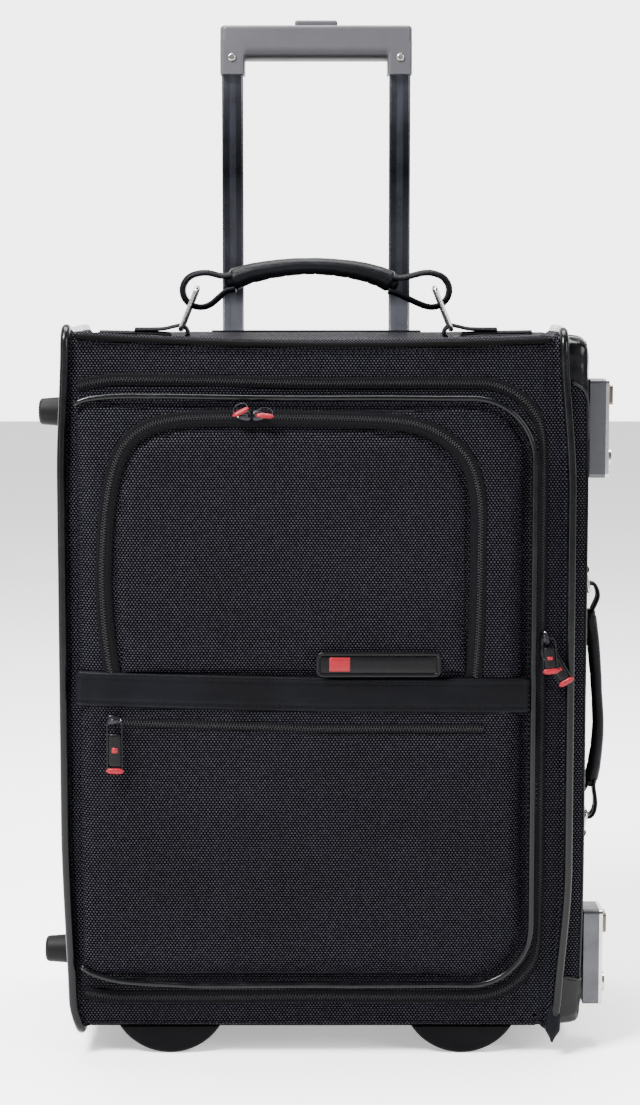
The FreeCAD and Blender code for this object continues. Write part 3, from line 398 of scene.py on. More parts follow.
BADGE_BLACK = plastic("badge_black", (0.0012, 0.0012, 0.0015), 0.3, 1800.0, 0.00004)


def dress(node, material):
    """Gives a CAD node its finished material."""
    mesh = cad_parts[node].data
    for index in range(max(1, len(mesh.materials))):
        if index < len(mesh.materials):
            mesh.materials[index] = material
        else:
            mesh.materials.append(material)


# ---- mesh building ----

def make_mesh(name, points, faces):
    """A smooth-shaded mesh with its faces turned outward."""
    mesh = bpy.data.meshes.new(name)
    mesh.from_pydata([tuple(point) for point in points], [], faces)
    form = bmesh.new()
    form.from_mesh(mesh)
    bmesh.ops.recalc_face_normals(form, faces=form.faces)
    form.to_mesh(mesh)
    form.free()
    mesh.shade_smooth()
    return mesh


def joined(parts):
    """Several (points, faces) pairs as one."""
    points, faces = [], []
    for more_points, more_faces in parts:
        start = len(points)
        points += more_points
        faces += [tuple(start + index for index in face) for face in more_faces]
    return points, faces


def piece(name, shape, material, body, nodes=(), settled=False):
    """A finished object from (points, faces), on a body, standing for some CAD nodes."""
    mesh = make_mesh(name, *shape)
    if settled:
        for vertex in mesh.vertices:
            vertex.co = settle(vertex.co)
    mesh.materials.append(material)
    item = bpy.data.objects.new(name, mesh)
    bpy.context.scene.collection.objects.link(item)
    if body:
        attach(item, body)
    if nodes:
        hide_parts(*nodes)
    return item


def rounded(item, level=1):
    """A subdivision surface over a piece."""
    smoother = item.modifiers.new("round", "SUBSURF")
    smoother.levels = smoother.render_levels = level
    return item


def settle(point):
    """How the soft case gives: its front corners draw in, its top sags and its left front rides up."""
    x, y, z = point
    across = x - CENTRE
    ahead = 1.0 - smooth(-20 * MM, 70 * MM, y)
    corner = 5 * MM * (1.0 - smooth(BOTTOM - 6 * MM, BOTTOM + 22 * MM, z))
    if across > 0:
        foot = 8.5 * MM * (1.0 - smooth(BOTTOM, BOTTOM + 120 * MM, z))
        head = 7.5 * MM * smooth(TOP - 114 * MM, TOP, z)
        drawn = (6 * MM + foot + head + corner) * smooth(158 * MM, 180 * MM, across)
        drawn *= 1.0 - 0.75 * smooth(185 * MM, 195 * MM, across)
    else:
        foot = 4.5 * MM * (1.0 - smooth(BOTTOM, BOTTOM + 150 * MM, z))
        head = 3.5 * MM * smooth(TOP - 104 * MM, TOP, z)
        drawn = (foot + head + corner + 0.7 * MM) * smooth(160 * MM, 178 * MM, -across)
    inner = max(0.0, 1.0 - (across / (165 * MM)) ** 2)
    sag = 3.2 * MM * inner * smooth(TOP - 50 * MM, TOP, z) * ahead
    left = min(1.0, max(0.0, (15 * MM - across) / (187 * MM))) ** 1.3
    facing = 1.0 - smooth(FRONT + 4 * MM, FRONT + 30 * MM, y)
    height = smooth(80 * MM, 220 * MM, z) * (1.0 - 0.5 * smooth(260 * MM, 480 * MM, z))
    hung = 5.6 * MM * left * height * facing
    return Vector((x - math.copysign(drawn * ahead, across), y, z - sag + hung))


def route(corners, bends, step, closed=False):
    """Points about step apart along straight runs, with a round bend at each corner."""
    corners = [Vector(corner) for corner in corners]
    count = len(corners)
    runs = []
    for index, corner in enumerate(corners):
        if not closed and index in (0, count - 1):
            runs.append([corner])
            continue
        into = (corner - corners[index - 1]).normalized()
        away = (corners[(index + 1) % count] - corner).normalized()
        turn = math.acos(max(-1.0, min(1.0, into.dot(away))))
        bend = bends[index]
        if bend <= 0 or turn < 0.01:
            runs.append([corner])
            continue
        inward = (away - into * away.dot(into)).normalized()
        start = corner - into * bend * math.tan(turn / 2)
        pieces = max(2, round(bend * turn / step))
        runs.append([start + inward * bend * (1 - math.cos(turn * k / pieces))
                     + into * bend * math.sin(turn * k / pieces) for k in range(pieces + 1)])
    points = []
    for index, run in enumerate(runs):
        points += run
        if index == count - 1 and not closed:
            break
        gap = runs[(index + 1) % count][0] - run[-1]
        pieces = max(1, round(gap.length / step))
        points += [run[-1] + gap * k / pieces for k in range(1, pieces)]
    return points


def straight(start, end, step):
    """Points about step apart along a straight run."""
    return route([start, end], [0, 0], step)


def ways(path):
    """Each point of an open path, with the way the path runs there."""
    ends = [path[0], *path, path[-1]]
    return [(point, (after - before).normalized()) for before, point, after in zip(ends, path, ends[2:])]


def flow(points, step):
    """A smooth line through a few points, sampled about step apart."""
    points = [Vector(point) for point in points]
    ends = [2 * points[0] - points[1]] + points + [2 * points[-1] - points[-2]]
    line = []
    for a, b, c, d in zip(ends, ends[1:], ends[2:], ends[3:]):
        pieces = max(1, round((c - b).length / step))
        for k in range(pieces):
            t = k / pieces
            line.append(0.5 * (2 * b + (c - a) * t + (2 * a - 5 * b + 4 * c - d) * t * t
                               + (3 * b - a - 3 * c + d) * t ** 3))
    return line + [points[-1]]


def walk(path, pitch, closed=False):
    """Evenly spaced places on a path, each with the way the path runs there."""
    path = list(path) + ([path[0]] if closed else [])
    spots, ahead = [], pitch / 2
    for a, b in zip(path, path[1:]):
        length = (b - a).length
        if length == 0:
            continue
        while ahead <= length:
            spots.append((a.lerp(b, ahead / length), (b - a) / length))
            ahead += pitch
        ahead -= length
    return spots


def ring_of(radius, sides=10, flat=1.0):
    """A round section, or an oval one where flat isn't 1."""
    turns = [2 * math.pi * k / sides for k in range(sides)]
    return [(radius * math.cos(turn), flat * radius * math.sin(turn)) for turn in turns]


def strap_of(wide, thick, crown=0.0, steps=6):
    """A flat strap's section: edges rounded over, and raised by crown along the middle."""
    top = [(wide * (k / steps - 0.5), thick * (1 - 0.45 * abs(2 * k / steps - 1) ** 6)
            + crown * (1 - (2 * k / steps - 1) ** 2)) for k in range(steps + 1)]
    return top + [(side, 0.0) for side, _ in reversed(top)]


def sweep(path, section, up, closed=False):
    """A section of (across, outward) places carried along a path.

    up is the outward side, or a function of the place and the path's way there; section may be
    a function of the share of the path that has gone by.
    """
    count = len(path)
    points, faces, size = [], [], 0
    for index, spot in enumerate(path):
        before = path[index - 1] if index or closed else spot
        after = path[(index + 1) % count] if index < count - 1 or closed else spot
        along = (after - before).normalized()
        out = Vector(up(spot, along) if callable(up) else up)
        out = (out - along * out.dot(along)).normalized()
        side = along.cross(out)
        shape = section(index / max(1, count - 1)) if callable(section) else section
        size = len(shape)
        points += [spot + side * across + out * outward for across, outward in shape]
    for index in range(count if closed else count - 1):
        here, there = index * size, (index + 1) % count * size
        faces += [(here + k, here + (k + 1) % size, there + (k + 1) % size, there + k) for k in range(size)]
    if not closed:
        faces += [tuple(range(size)), tuple(range((count - 1) * size, count * size))]
    return points, faces


def pill(middle, half, radius, sides=6):
    """A small rounded bar, for stitches and zip links."""
    along = half.normalized()
    side = along.orthogonal().normalized()
    out = along.cross(side)
    points, faces = [], []
    for far, wide in ((-1.0, 0.4), (-0.75, 1.0), (0.75, 1.0), (1.0, 0.4)):
        for k in range(sides):
            turn = 2 * math.pi * k / sides
            around = side * math.cos(turn) + out * math.sin(turn)
            points.append(middle + half * far + around * radius * wide)
    for here, there in ((0, sides), (sides, 2 * sides), (2 * sides, 3 * sides)):
        faces += [(here + k, here + (k + 1) % sides, there + (k + 1) % sides, there + k)
                  for k in range(sides)]
    return points, faces + [tuple(range(sides)), tuple(range(3 * sides, 4 * sides))]


# Threads: the length of a stitch, the gap after it and the thread's radius.
FINE_STITCH = (2.4 * MM, 1.2 * MM, 0.3 * MM)
HEAVY_STITCH = (2.8 * MM, 1.3 * MM, 0.34 * MM)


def stitches(path, long, gap, radius, closed=False):
    """A row of thread stitches along a path."""
    return joined([pill(spot, along * long / 2, radius) for spot, along in walk(path, long + gap, closed)])


def coil_links(path, up, wide=3.7 * MM, pitch=1.0 * MM):
    """A zip's coil: slanted links from the two sides, meeting in the middle."""
    links = []
    for index, (spot, along) in enumerate(walk(path, pitch)):
        side = along.cross(Vector(up)).normalized()
        way = 1 if index % 2 else -1
        half = side * way * wide * 0.3 + along * pitch * 0.16
        links.append(pill(spot + side * way * wide * 0.2, half, 0.46 * MM))
    return joined(links)


def plate(rows, inward, wrap=False):
    """A closed sheet with thickness from rows of outer points; inward points into it."""
    high, wide = len(rows), len(rows[0])
    inward = Vector(inward)
    outer = [point for row in rows for point in row]
    points = outer + [point + inward for point in outer]
    base = len(outer)
    around = wide if wrap else wide - 1
    faces = []
    for i in range(high - 1):
        for j in range(around):
            k = (j + 1) % wide
            quad = (i * wide + j, i * wide + k, (i + 1) * wide + k, (i + 1) * wide + j)
            faces += [quad, tuple(base + index for index in reversed(quad))]
    rim = [(j, (j + 1) % wide) for j in range(around)]
    rim += [((high - 1) * wide + (j + 1) % wide, (high - 1) * wide + j) for j in range(around)]
    if not wrap:
        rim += [((i + 1) * wide, i * wide) for i in range(high - 1)]
        rim += [(i * wide + wide - 1, (i + 1) * wide + wide - 1) for i in range(high - 1)]
    faces += [(a, base + a, base + b, b) for a, b in rim]
    return points, faces


def rumple(point, size, depth, seed=0.0):
    """A soft random rise and fall of the cloth, in metres."""
    return depth * noise.noise(Vector(point) / size + Vector((seed, 2.3 * seed, -seed)))


def waved(path, **waves):
    """The path with soft waves along x, y or z, each by its size, its depth in millimetres and a seed."""
    def shift(point, axis):
        size, depth, seed = waves.get(axis, (1.0, 0.0, 0.0))
        return rumple(point, size, depth * MM, seed)

    return [point + Vector([shift(point, axis) for axis in "xyz"]) for point in path]


def edge_roll(distance, radius):
    """How far a panel has dropped, this far from its edge, where its rim rolls over."""
    reach = max(0.0, radius - distance)
    return radius - math.sqrt(max(0.0, radius * radius - reach * reach))


class Surface:
    """The front of some finished pieces, to lay other pieces on."""

    def __init__(self, *items):
        points, faces = [], []
        graph = bpy.context.evaluated_depsgraph_get()
        for item in items:
            mesh = item.evaluated_get(graph).to_mesh()
            start = len(points)
            points += [vertex.co.copy() for vertex in mesh.vertices]
            faces += [tuple(start + index for index in face.vertices) for face in mesh.polygons]
        self.tree = BVHTree.FromPolygons(points, faces)

    def front(self, x, z, otherwise):
        """How far forward the surface is at a place, or otherwise where there is none."""
        hit = self.tree.ray_cast(Vector((x, FRONT - 0.1, z)), Vector((0, 1, 0)))[0]
        return hit.y if hit else otherwise

    def laid(self, path, lift):
        """The path drawn forward or back on to the surface, lift in front of it."""
        places = [self.front(point.x, point.z, point.y) for point in path]
        around = [places[max(0, index - 2):index + 3] for index in range(len(places))]
        even = [sum(some) / len(some) for some in around]
        return [Vector((point.x, y - lift, point.z)) for point, y in zip(path, even)]


def swell(item, voxel, pressure, cap):
    """Blows a pad up as cloth, with no point moving further than cap."""
    remesh = item.modifiers.new("remesh", "REMESH")
    remesh.mode = "VOXEL"
    remesh.voxel_size = voxel
    freeze(item)
    cloth = item.modifiers.new("swell", "CLOTH")
    cloth.settings.use_pressure = True
    cloth.settings.uniform_pressure_force = pressure
    cloth.settings.effector_weights.gravity = 0.0
    cloth.settings.quality = 5
    cloth.settings.tension_stiffness = 20.0
    cloth.settings.compression_stiffness = 8.0
    cloth.settings.bending_stiffness = 0.6
    cloth.collision_settings.use_collision = False
    start = [vertex.co.copy() for vertex in item.data.vertices]
    scene = bpy.context.scene
    for step in range(1, 21):
        scene.frame_set(step)
    shape = item.evaluated_get(bpy.context.evaluated_depsgraph_get()).to_mesh()
    moved = [vertex.co.copy() for vertex in shape.vertices]
    item.modifiers.remove(cloth)
    scene.frame_set(1)
    for vertex, before, after in zip(item.data.vertices, start, moved):
        shift = after - before
        if shift.length > 1e-9:
            shift *= cap * math.tanh(shift.length / cap) / shift.length
        vertex.co = before + shift


def freeze(item):
    """Puts a piece's modifiers into its mesh."""
    graph = bpy.context.evaluated_depsgraph_get()
    made = bpy.data.meshes.new_from_object(item.evaluated_get(graph))
    item.modifiers.clear()
    item.data = made
    made.shade_smooth()


# ---- the case's fabric shell ----

SKIN = 3.6 * MM
OPEN_LOW, OPEN_HIGH = DOOR_LOW + mm(14, 0, 14), DOOR_HIGH - mm(14, 0, 14)


def outline(low_point, high_point, bends, y, step=5 * MM):
    """A rounded frame in the plane of the front: bends from the lower left, anticlockwise."""
    (x0, _, z0), (x1, _, z1) = low_point, high_point
    return route([(x0, y, z0), (x1, y, z0), (x1, y, z1), (x0, y, z1)], bends, step, closed=True)


# Creases pressed into the front: from a place, towards another, how wide and how deep, in mm
# from the lower left corner of the front.
CREASES = [((6, 496), (60, 468), 3.2, 1.6), ((10, 486), (42, 470), 2.4, 1.2),
           ((352, 498), (318, 478), 3.0, 1.4), ((356, 60), (338, 34), 3.0, 1.6),
           ((352, 78), (344, 44), 2.4, 1.2), ((10, 30), (48, 40), 3.0, 1.4),
           ((120, 492), (190, 486), 4.0, 0.8), ((230, 12), (300, 22), 4.0, 0.8)]


def creased(spot):
    """The depth of the pressed creases at a place on the front."""
    depth = 0.0
    here = Vector((spot.x - LEFT, spot.z - BOTTOM)) / MM
    for start, end, wide, deep in CREASES:
        start, end = Vector(start), Vector(end)
        run = end - start
        share = max(0.0, min(1.0, (here - start).dot(run) / run.length_squared))
        off = (here - start - run * share).length
        depth += deep * MM * math.exp(-(off / wide) ** 2) * (1 - 0.7 * share)
    return depth


def make_front_skin():
    """The fabric round the front door, rolled over at its outer edges."""
    inner = outline(OPEN_LOW, OPEN_HIGH, [4 * MM, 28 * MM, 28 * MM, 4 * MM], FRONT)
    centre = (OPEN_LOW + OPEN_HIGH) / 2
    rows, bands, far = [], 16, 9.0
    edge_x0, edge_x1, edge_z0, edge_z1 = LEFT, RIGHT, BOTTOM + 2 * MM, TOP - 2 * MM
    for band in range(bands + 1):
        share = band / bands
        row = []
        for point in inner:
            away = point - centre
            reach_x = (edge_x1 if away.x > 0 else edge_x0) - centre.x
            reach_z = (edge_z1 if away.z > 0 else edge_z0) - centre.z
            scale = min(abs(reach / part) if part else far
                        for reach, part in ((reach_x, away.x), (reach_z, away.z)))
            spot = point.lerp(centre + away * scale, share)
            rim = min(spot.z - edge_z0, edge_z1 - spot.z)
            swollen = 1.2 * MM * math.sin(math.pi * min(1.0, share * 1.15))
            spot.y = FRONT - swollen + edge_roll(rim, 3 * MM)
            spot.y += (rumple(spot, 0.055, 1.1 * MM, 3.0) + creased(spot)) * smooth(0.0, 0.3, share)
            row.append(spot)
        rows.append(row)
    shape = plate(rows, (0, SKIN, 0), wrap=True)
    return piece("front_skin", shape, NYLON, "case", ["front_frame"], settled=True)


def panel_rows(origin, across, upward, normal, puff, seed, step=9 * MM, roll=3 * MM, crumple=0.9 * MM):
    """Rows of a soft panel from its corner, along two edge vectors, crowned along its normal."""
    origin, across, upward, normal = map(Vector, (origin, across, upward, normal))
    wide, high = across.length, upward.length
    columns, count = max(4, round(wide / step)), max(4, round(high / step))

    def spread(k, parts, length):
        """Even places, with extra ones near the two ends for the rolled edge."""
        t = k / parts
        return length * (t - 0.055 * math.sin(2 * math.pi * t))

    rows = []
    for i in range(count + 1):
        v = spread(i, count, high)
        row = []
        for j in range(columns + 1):
            u = spread(j, columns, wide)
            spot = origin + across * (u / wide) + upward * (v / high)
            rise = (puff * (4 * u * (wide - u) / wide ** 2) ** 0.5
                    * (4 * v * (high - v) / high ** 2) ** 0.5)
            rim = min(u, wide - u, v, high - v)
            spot += normal * (rise - edge_roll(rim, roll)
                              + rumple(spot, 0.06, crumple, seed) * smooth(0.0, 20 * MM, rim))
            row.append(spot)
        rows.append(row)
    return rows


def make_shell():
    """The top, bottom, rear and left-hand panels."""
    edge = 1.5 * MM
    x, y, z = LEFT + edge, FRONT + edge, BOTTOM + edge
    wide = (RIGHT - LEFT - 2 * edge, 0, 0)
    deep = (0, REAR - FRONT - 2 * edge, 0)
    tall = (0, 0, TOP - BOTTOM - 2 * edge)
    panels = [
        ("top_skin", (x, y, TOP), wide, deep, (0, 0, 1), 0.5 * MM, ["top_panel"]),
        ("bottom_skin", (x, y, BOTTOM), wide, deep, (0, 0, -1), 0.4 * MM, ["bottom_panel"]),
        ("rear_skin", (x, REAR, z), wide, tall, (0, 1, 0), 1.0 * MM, ["rear_panel"]),
        ("base_skin", (LEFT, y, z), deep, tall, (-1, 0, 0), 0.8 * MM, ["base_panel"]),
    ]
    for seed, (name, origin, across, upward, normal, puff, nodes) in enumerate(panels):
        rows = panel_rows(origin, across, upward, normal, puff, seed + 1.5)
        shape = plate(rows, Vector(normal) * -SKIN)
        piece(name, shape, NYLON, "case", nodes, settled=True)


def across_welt(spot, along, centre):
    """The way from a side's edge towards its middle, square to the cord."""
    way = Vector((1, 0, 0)).cross(along)
    return way if way.dot(centre - spot) > 0 else -way


def make_case_piping():
    """Cord covered in glossy vinyl round both sides, each on a welt sewn into the seam."""
    for node, inward in (("base_piping", 1), ("opening_piping", -1)):
        into = Vector((inward, 0, 0))
        box_low, box_high = low(node), high(node)
        middle, radius = middle_of(node).x, (box_high.x - box_low.x) / 2
        y0, y1, z0, z1 = box_low.y + radius, box_high.y - radius, box_low.z + radius, box_high.z - radius
        path = route([(middle, y0, z0), (middle, y1, z0), (middle, y1, z1), (middle, y0, z1)],
                     [13 * MM] * 4, 4 * MM, closed=True)
        path = waved(path, y=(0.05, 0.5, 5.0), z=(0.06, 0.4, 8.0))
        centre = Vector((middle, (FRONT + REAR) / 2, (BOTTOM + TOP) / 2))
        welt = []
        for before, point, after in zip(path[-1:] + path, path, path[1:] + path[:1]):
            across = across_welt(point, (after - before).normalized(), centre)
            welt.append(settle(point + (into + across) * 4.5 * MM))
        path = [settle(point) for point in path]

        def welt_side(spot, along, into=into, centre=centre):
            return into - across_welt(spot, along, centre)

        strip = sweep(welt, strap_of(11 * MM, 1.8 * MM), welt_side, closed=True)
        piece(node + "_welt", strip, NYLON, "case")
        cord = sweep(path, ring_of(radius * 0.92, 16), lambda spot, along: spot - centre, closed=True)
        piece(node + "_cord", cord, PIPING, "case", [node])
        seam = [point + into * (radius + 0.6 * MM) + (centre - point).normalized() * radius * 0.55
                for point in path]
        thread = stitches(seam, 2.4 * MM, 1.4 * MM, 0.3 * MM, closed=True)
        piece(node + "_stitches", thread, THREAD, "case")


def make_top_binding():
    """The bound seam just under the front's top edge, and the stitches along both edges."""
    y, z = FRONT - 1.1 * MM, TOP - 3.6 * MM
    line = straight((LEFT + 5 * MM, y, z), (RIGHT - 5 * MM, y, z), 5 * MM)
    tape = sweep(line, strap_of(3.6 * MM, 0.8 * MM, 0.4 * MM), (0, -1, 0))
    piece("top_binding", tape, BINDING, "case", settled=True)
    rows = [stitches([point + mm(0, -0.1, drop) for point in line], *HEAVY_STITCH)
            for drop in (-3.6, -5.4)]
    y, z = FRONT - 0.5 * MM, BOTTOM + 5 * MM
    low_line = straight((LEFT + 8 * MM, y, z), (RIGHT - 8 * MM, y, z), 5 * MM)
    rows.append(stitches(low_line, *HEAVY_STITCH))
    piece("edge_stitches", joined(rows), THREAD, "case", settled=True)


def make_zip_end():
    """The folded tab that closes the lower end of the lid's seam, under the front corner."""
    end = Vector((RIGHT - 12.5 * MM, FRONT - 3 * MM, BOTTOM))
    path = flow([end + mm(1, 0, 18), end + mm(0.5, -1, 8), end + mm(0, -1.5, 0), end + mm(-0.5, -1, -9)],
                1.2 * MM)

    def section(share):
        half = 5.4 * MM * (1 - 0.82 * smooth(0.6, 1.0, share) - 0.4 * (1 - smooth(0.0, 0.3, share)))
        return ring_of(half, 14, 0.45)

    piece("lid_seam_end", sweep(path, section, (0, -1, 0)), LEATHER, "case")


make_front_skin()
make_shell()
make_zip_end()
make_case_piping()
make_top_binding()


# ---- the front door, its pad, bead, band and zips ----

def padded_slab(rim, back, front):
    """A closed slab from an outline in the front's plane, its front edge drawn in, ready to swell."""
    centre = sum(rim, Vector()) / len(rim)
    points, wide = [], len(rim)
    for y, inset in ((back, 0.0), (front + 3 * MM, 0.0), (front + 0.8 * MM, 0.8 * MM), (front, 2.6 * MM)):
        for point in rim:
            scale = 1 - inset / abs((point - centre).length)
            points.append(Vector((centre.x + (point.x - centre.x) * scale, y,
                                  centre.z + (point.z - centre.z) * scale)))
    faces = [(i * wide + j, i * wide + (j + 1) % wide, (i + 1) * wide + (j + 1) % wide, (i + 1) * wide + j)
             for i in range(3) for j in range(wide)]
    faces += [tuple(range(wide)), tuple(range(3 * wide, 4 * wide))]
    return points, faces


def make_door_pad():
    """The padded door: crowned and rumpled, flat behind the flap, drawn in along its two sewn seams."""
    bends = [10 * MM, 42 * MM, 42 * MM, 10 * MM]
    rim = outline(DOOR_LOW + mm(-1.5, 0, 1), DOOR_HIGH - mm(1, 0, 1), bends, 0.0, 8 * MM)
    shape = padded_slab(rim, DOOR_HIGH.y - 1.5 * MM, DOOR_LOW.y + 3 * MM)
    pad = piece("door_pad", shape, NYLON, "door", ["door_panel"])
    swell(pad, 4 * MM, 3.5, 4.0 * MM)
    back, behind_flap = DOOR_HIGH.y - 0.2 * MM, FLAP_HIGH.y + 0.3 * MM
    for vertex in pad.data.vertices:
        x, y, z = vertex.co
        facing = smooth(DOOR_HIGH.y, DOOR_LOW.y, y)
        y += rumple(vertex.co, 0.07, 1.1 * MM, 11.0) * facing
        y += rumple(Vector((x * 2.4, y, z)), 0.05, 0.5 * MM, 17.0) * facing
        if in_flap(x, z):
            y = max(y, behind_flap)
        sewn = sum(deep * math.exp(-((z - seam) / wide) ** 2) for seam, wide, deep in DOOR_SEAMS)
        vertex.co = settle((x, min(y + sewn * facing, back), z))
    rounded(pad)
    return pad


def in_flap(x, z):
    """Whether a place on the door is behind the pocket's flap."""
    edge = 3 * MM
    return (FLAP_LOW.x - edge < x < FLAP_HIGH.x + edge
            and FLAP_LOW.z - edge < z < FLAP_HIGH.z + edge)


# The seams across the door: their height, width and depth.
DOOR_SEAMS = ((DOOR_LOW.z + 178.2 * MM, 2.6 * MM, 1.2 * MM), (BAND_HIGH.z + 1.5 * MM, 2 * MM, 0.96 * MM))


def make_door_bead():
    """The door's piping, open at the hinge side: its two ends curve away towards the left edge."""
    box_low, box_high = low("door_piping"), high("door_piping")
    centre = middle_of("door_piping")
    y, radius, bend = centre.y, (box_high.y - box_low.y) / 2, 44.5 * MM
    x0, x1, z0, z1 = box_low.x + 1 * MM, box_high.x - radius, box_low.z + radius, box_high.z - radius
    low_end = flow(near(Vector((x0, y, z0)), (0, 16), (14, 9), (38, 3), (85, 0)), 4 * MM)
    high_end = flow(near(Vector((x0, y, z1)), (70, 0), (34, -1), (12, -4), (0, -9)), 4 * MM)
    turn = route([low_end[-1], (x1, y, z0), (x1, y, z1), high_end[0]], [0, bend, bend, 0], 4 * MM)
    path = waved(low_end[:-1] + turn + high_end[1:], y=(0.05, 0.5, 4.0), z=(0.08, 0.6, 6.0))
    path = [point for point in path if point.x > LEFT + 5 * MM]
    shape = sweep(path, ring_of(radius, 12), lambda spot, along: spot - centre)
    piece("door_bead", shape, PIPING, "door", ["door_piping"], settled=True)
    seam = []
    for point in path:
        spot = point + (centre - point).normalized() * 4.2 * MM
        seam.append(Vector((spot.x, DOOR_PAD.front(*settle(spot).xz, spot.y) - 0.1 * MM, spot.z)))
    thread = stitches(seam, 2.6 * MM, 1.4 * MM, 0.32 * MM)
    piece("door_bead_stitches", thread, THREAD, "door", settled=True)


def ridges(share, place, wide):
    """Two like ridges along a band, each at a place in from one of its edges."""
    return math.exp(-((share - place) / wide) ** 2) + math.exp(-((share - 1 + place) / wide) ** 2)


def make_band():
    """The leather band: folded edges, a soft crown and a row of stitches along each side."""
    wide = BAND_HIGH.z - BAND_LOW.z
    z = (BAND_LOW.z + BAND_HIGH.z) / 2
    line = straight((BAND_LOW.x, DOOR_LOW.y, z), (BAND_HIGH.x, DOOR_LOW.y, z), 4 * MM)
    line = [point + mm(0, 0, 1.2 * math.sin((point.x - BAND_LOW.x) * 9.0)) for point in line]
    line = DOOR_PAD.laid(line, -0.2 * MM)

    def section(share):
        places, steps = [], 18
        for k in range(steps + 1):
            t = k / steps
            edges = 0.7 * MM * ridges(t, 0.09, 0.045) - 0.45 * MM * ridges(t, 0.16, 0.02)
            soft = 0.5 * MM * noise.noise(Vector((share * 9.0, t * 2.0, 1.0))) * math.sin(math.pi * t)
            roll = 1.9 * MM * (1 - abs(2 * t - 1) ** 10)
            places.append((wide * (t - 0.5), roll + edges + soft))
        return places + [(wide / 2, -0.3 * MM), (-wide / 2, -0.3 * MM)]

    piece("leather_band_cover", sweep(line, section, (0, -1, 0)), LEATHER, "door",
          ["leather_band"], settled=True)
    rows = [stitches([point + Vector((0, -1.75 * MM, side * wide * 0.345)) for point in line],
                     3.0 * MM, 1.3 * MM, 0.36 * MM) for side in (-1, 1)]
    piece("leather_band_stitches", joined(rows), THREAD, "door", settled=True)


NARROWEST_SEWN_TAPE = 4 * MM


def zip_line(name, path, up, body, nodes, half_tape=4.7 * MM, lift=0.4 * MM, settled=True,
             tape_sides=(1, 1)):
    """A zip: woven tape on both sides, sewn down, and the coil along the middle."""
    up = Vector(up)
    left, right = half_tape * tape_sides[0], half_tape * tape_sides[1]
    tape = [(-left, 0.0), (-left, 0.7 * MM), (-left * 0.45, 0.9 * MM), (right * 0.45, 0.9 * MM),
            (right, 0.7 * MM), (right, 0.0)]
    piece(name + "_tape", sweep(path, tape, up), TAPE, body, nodes, settled=settled)
    raised = [point + up * (0.9 * MM + lift) for point in path]
    piece(name + "_coil", coil_links(raised, up), COIL, body, settled=settled)
    rows = []
    for side, reach in ((-1, left), (1, right)):
        if reach >= NARROWEST_SEWN_TAPE:
            row = [point + along.cross(up) * side * (reach - 1.2 * MM) + up * 0.75 * MM
                   for point, along in ways(path)]
            rows.append(stitches(row, 2.2 * MM, 1.0 * MM, 0.28 * MM))
    if rows:
        piece(name + "_stitches", joined(rows), THREAD, body, settled=settled)


def make_main_zip():
    """The long zip that runs over the top, down the right side and along the bottom of the door."""
    half_wide, lead_in = 5.5 * MM, 26 * MM
    zip_low, zip_high = low("main_zip"), high("main_zip")
    x0, x1 = zip_low.x + 1 * MM, zip_high.x - half_wide
    z0, z1 = zip_low.z + half_wide, zip_high.z - half_wide
    y = FRONT - 1.0 * MM
    path = route([(x0, y, z0 + 3 * MM), (x0 + lead_in, y, z0), (x1, y, z0),
                  (x1, y, z1), (x0 + lead_in, y, z1), (x0, y, z1 - 5 * MM)],
                 [0, 60 * MM, 48 * MM, 48 * MM, 60 * MM, 0], 4 * MM)
    zip_line("main_zip", waved(path, z=(0.09, 1.0, 9.0)), (0, -1, 0), "case", ["main_zip"])


def make_pocket_zip():
    """The short straight zip of the lower pocket, with the seams sewn round and under it."""
    zip_low, zip_high = low("lower_zip"), high("lower_zip")
    y, z = DOOR_LOW.y, (zip_low.z + zip_high.z) / 2
    line = waved(straight((zip_low.x, y, z), (zip_high.x, y, z), 4 * MM), z=(0.08, 0.8, 14.0))
    zip_line("pocket_zip", DOOR_PAD.laid(line, -0.1 * MM), (0, -1, 0), "door", ["lower_zip"], 3.2 * MM)
    low_seam = straight((DOOR_LOW.x + 5 * MM, y, z - 6.4 * MM), (DOOR_HIGH.x - 6 * MM, y, z - 5.2 * MM),
                        4 * MM)
    x0, x1, reach = zip_low.x - 3 * MM, zip_high.x + 3.5 * MM, 4.8 * MM
    box_seam = route([(x0, y, z + reach), (x1, y, z + reach), (x1, y, z - reach), (x0, y, z - reach)],
                     [0] * 4, 3 * MM)
    seams = [stitches(DOOR_PAD.laid(seam, -0.15 * MM), *FINE_STITCH) for seam in (low_seam, box_seam)]
    piece("pocket_zip_seams", joined(seams), THREAD, "door", settled=True)


DOOR_PAD = Surface(make_door_pad())
make_door_bead()
make_band()
make_main_zip()
make_pocket_zip()


# ---- the upper pocket: flap, its zip and the badge ----

def flap_line(inward, y):
    """The arch of the pocket's zip, moved inward from the coil; its left side leans as it climbs."""
    x0, x1 = FLAP_LOW.x - 1.7 * MM, FLAP_HIGH.x + 1.7 * MM
    z0, z1 = BAND_HIGH.z + 0.8 * MM, FLAP_HIGH.z + 1.7 * MM
    places = (near(Vector((x0, y, z0)), (6, 0), (2, 28), (0, 66))
              + near(Vector((x0, y, z1)), (2, -73), (6, -45), (13, -23), (25, -9.5), (44, -1.5), (76, 1.5),
                     (140, 1.2))
              + near(Vector((x1, y, z1)), (-66, -0.8), (-41, -5), (-23, -14), (-10, -27), (-3.5, -42),
                     (0, -62), (0, -90))
              + near(Vector((x1, y, z0)), (-1, 40), (-3, 0)))
    line = flow(places, 4 * MM)
    return [point + Vector((along.z, 0, -along.x)) * inward for point, along in ways(line)]


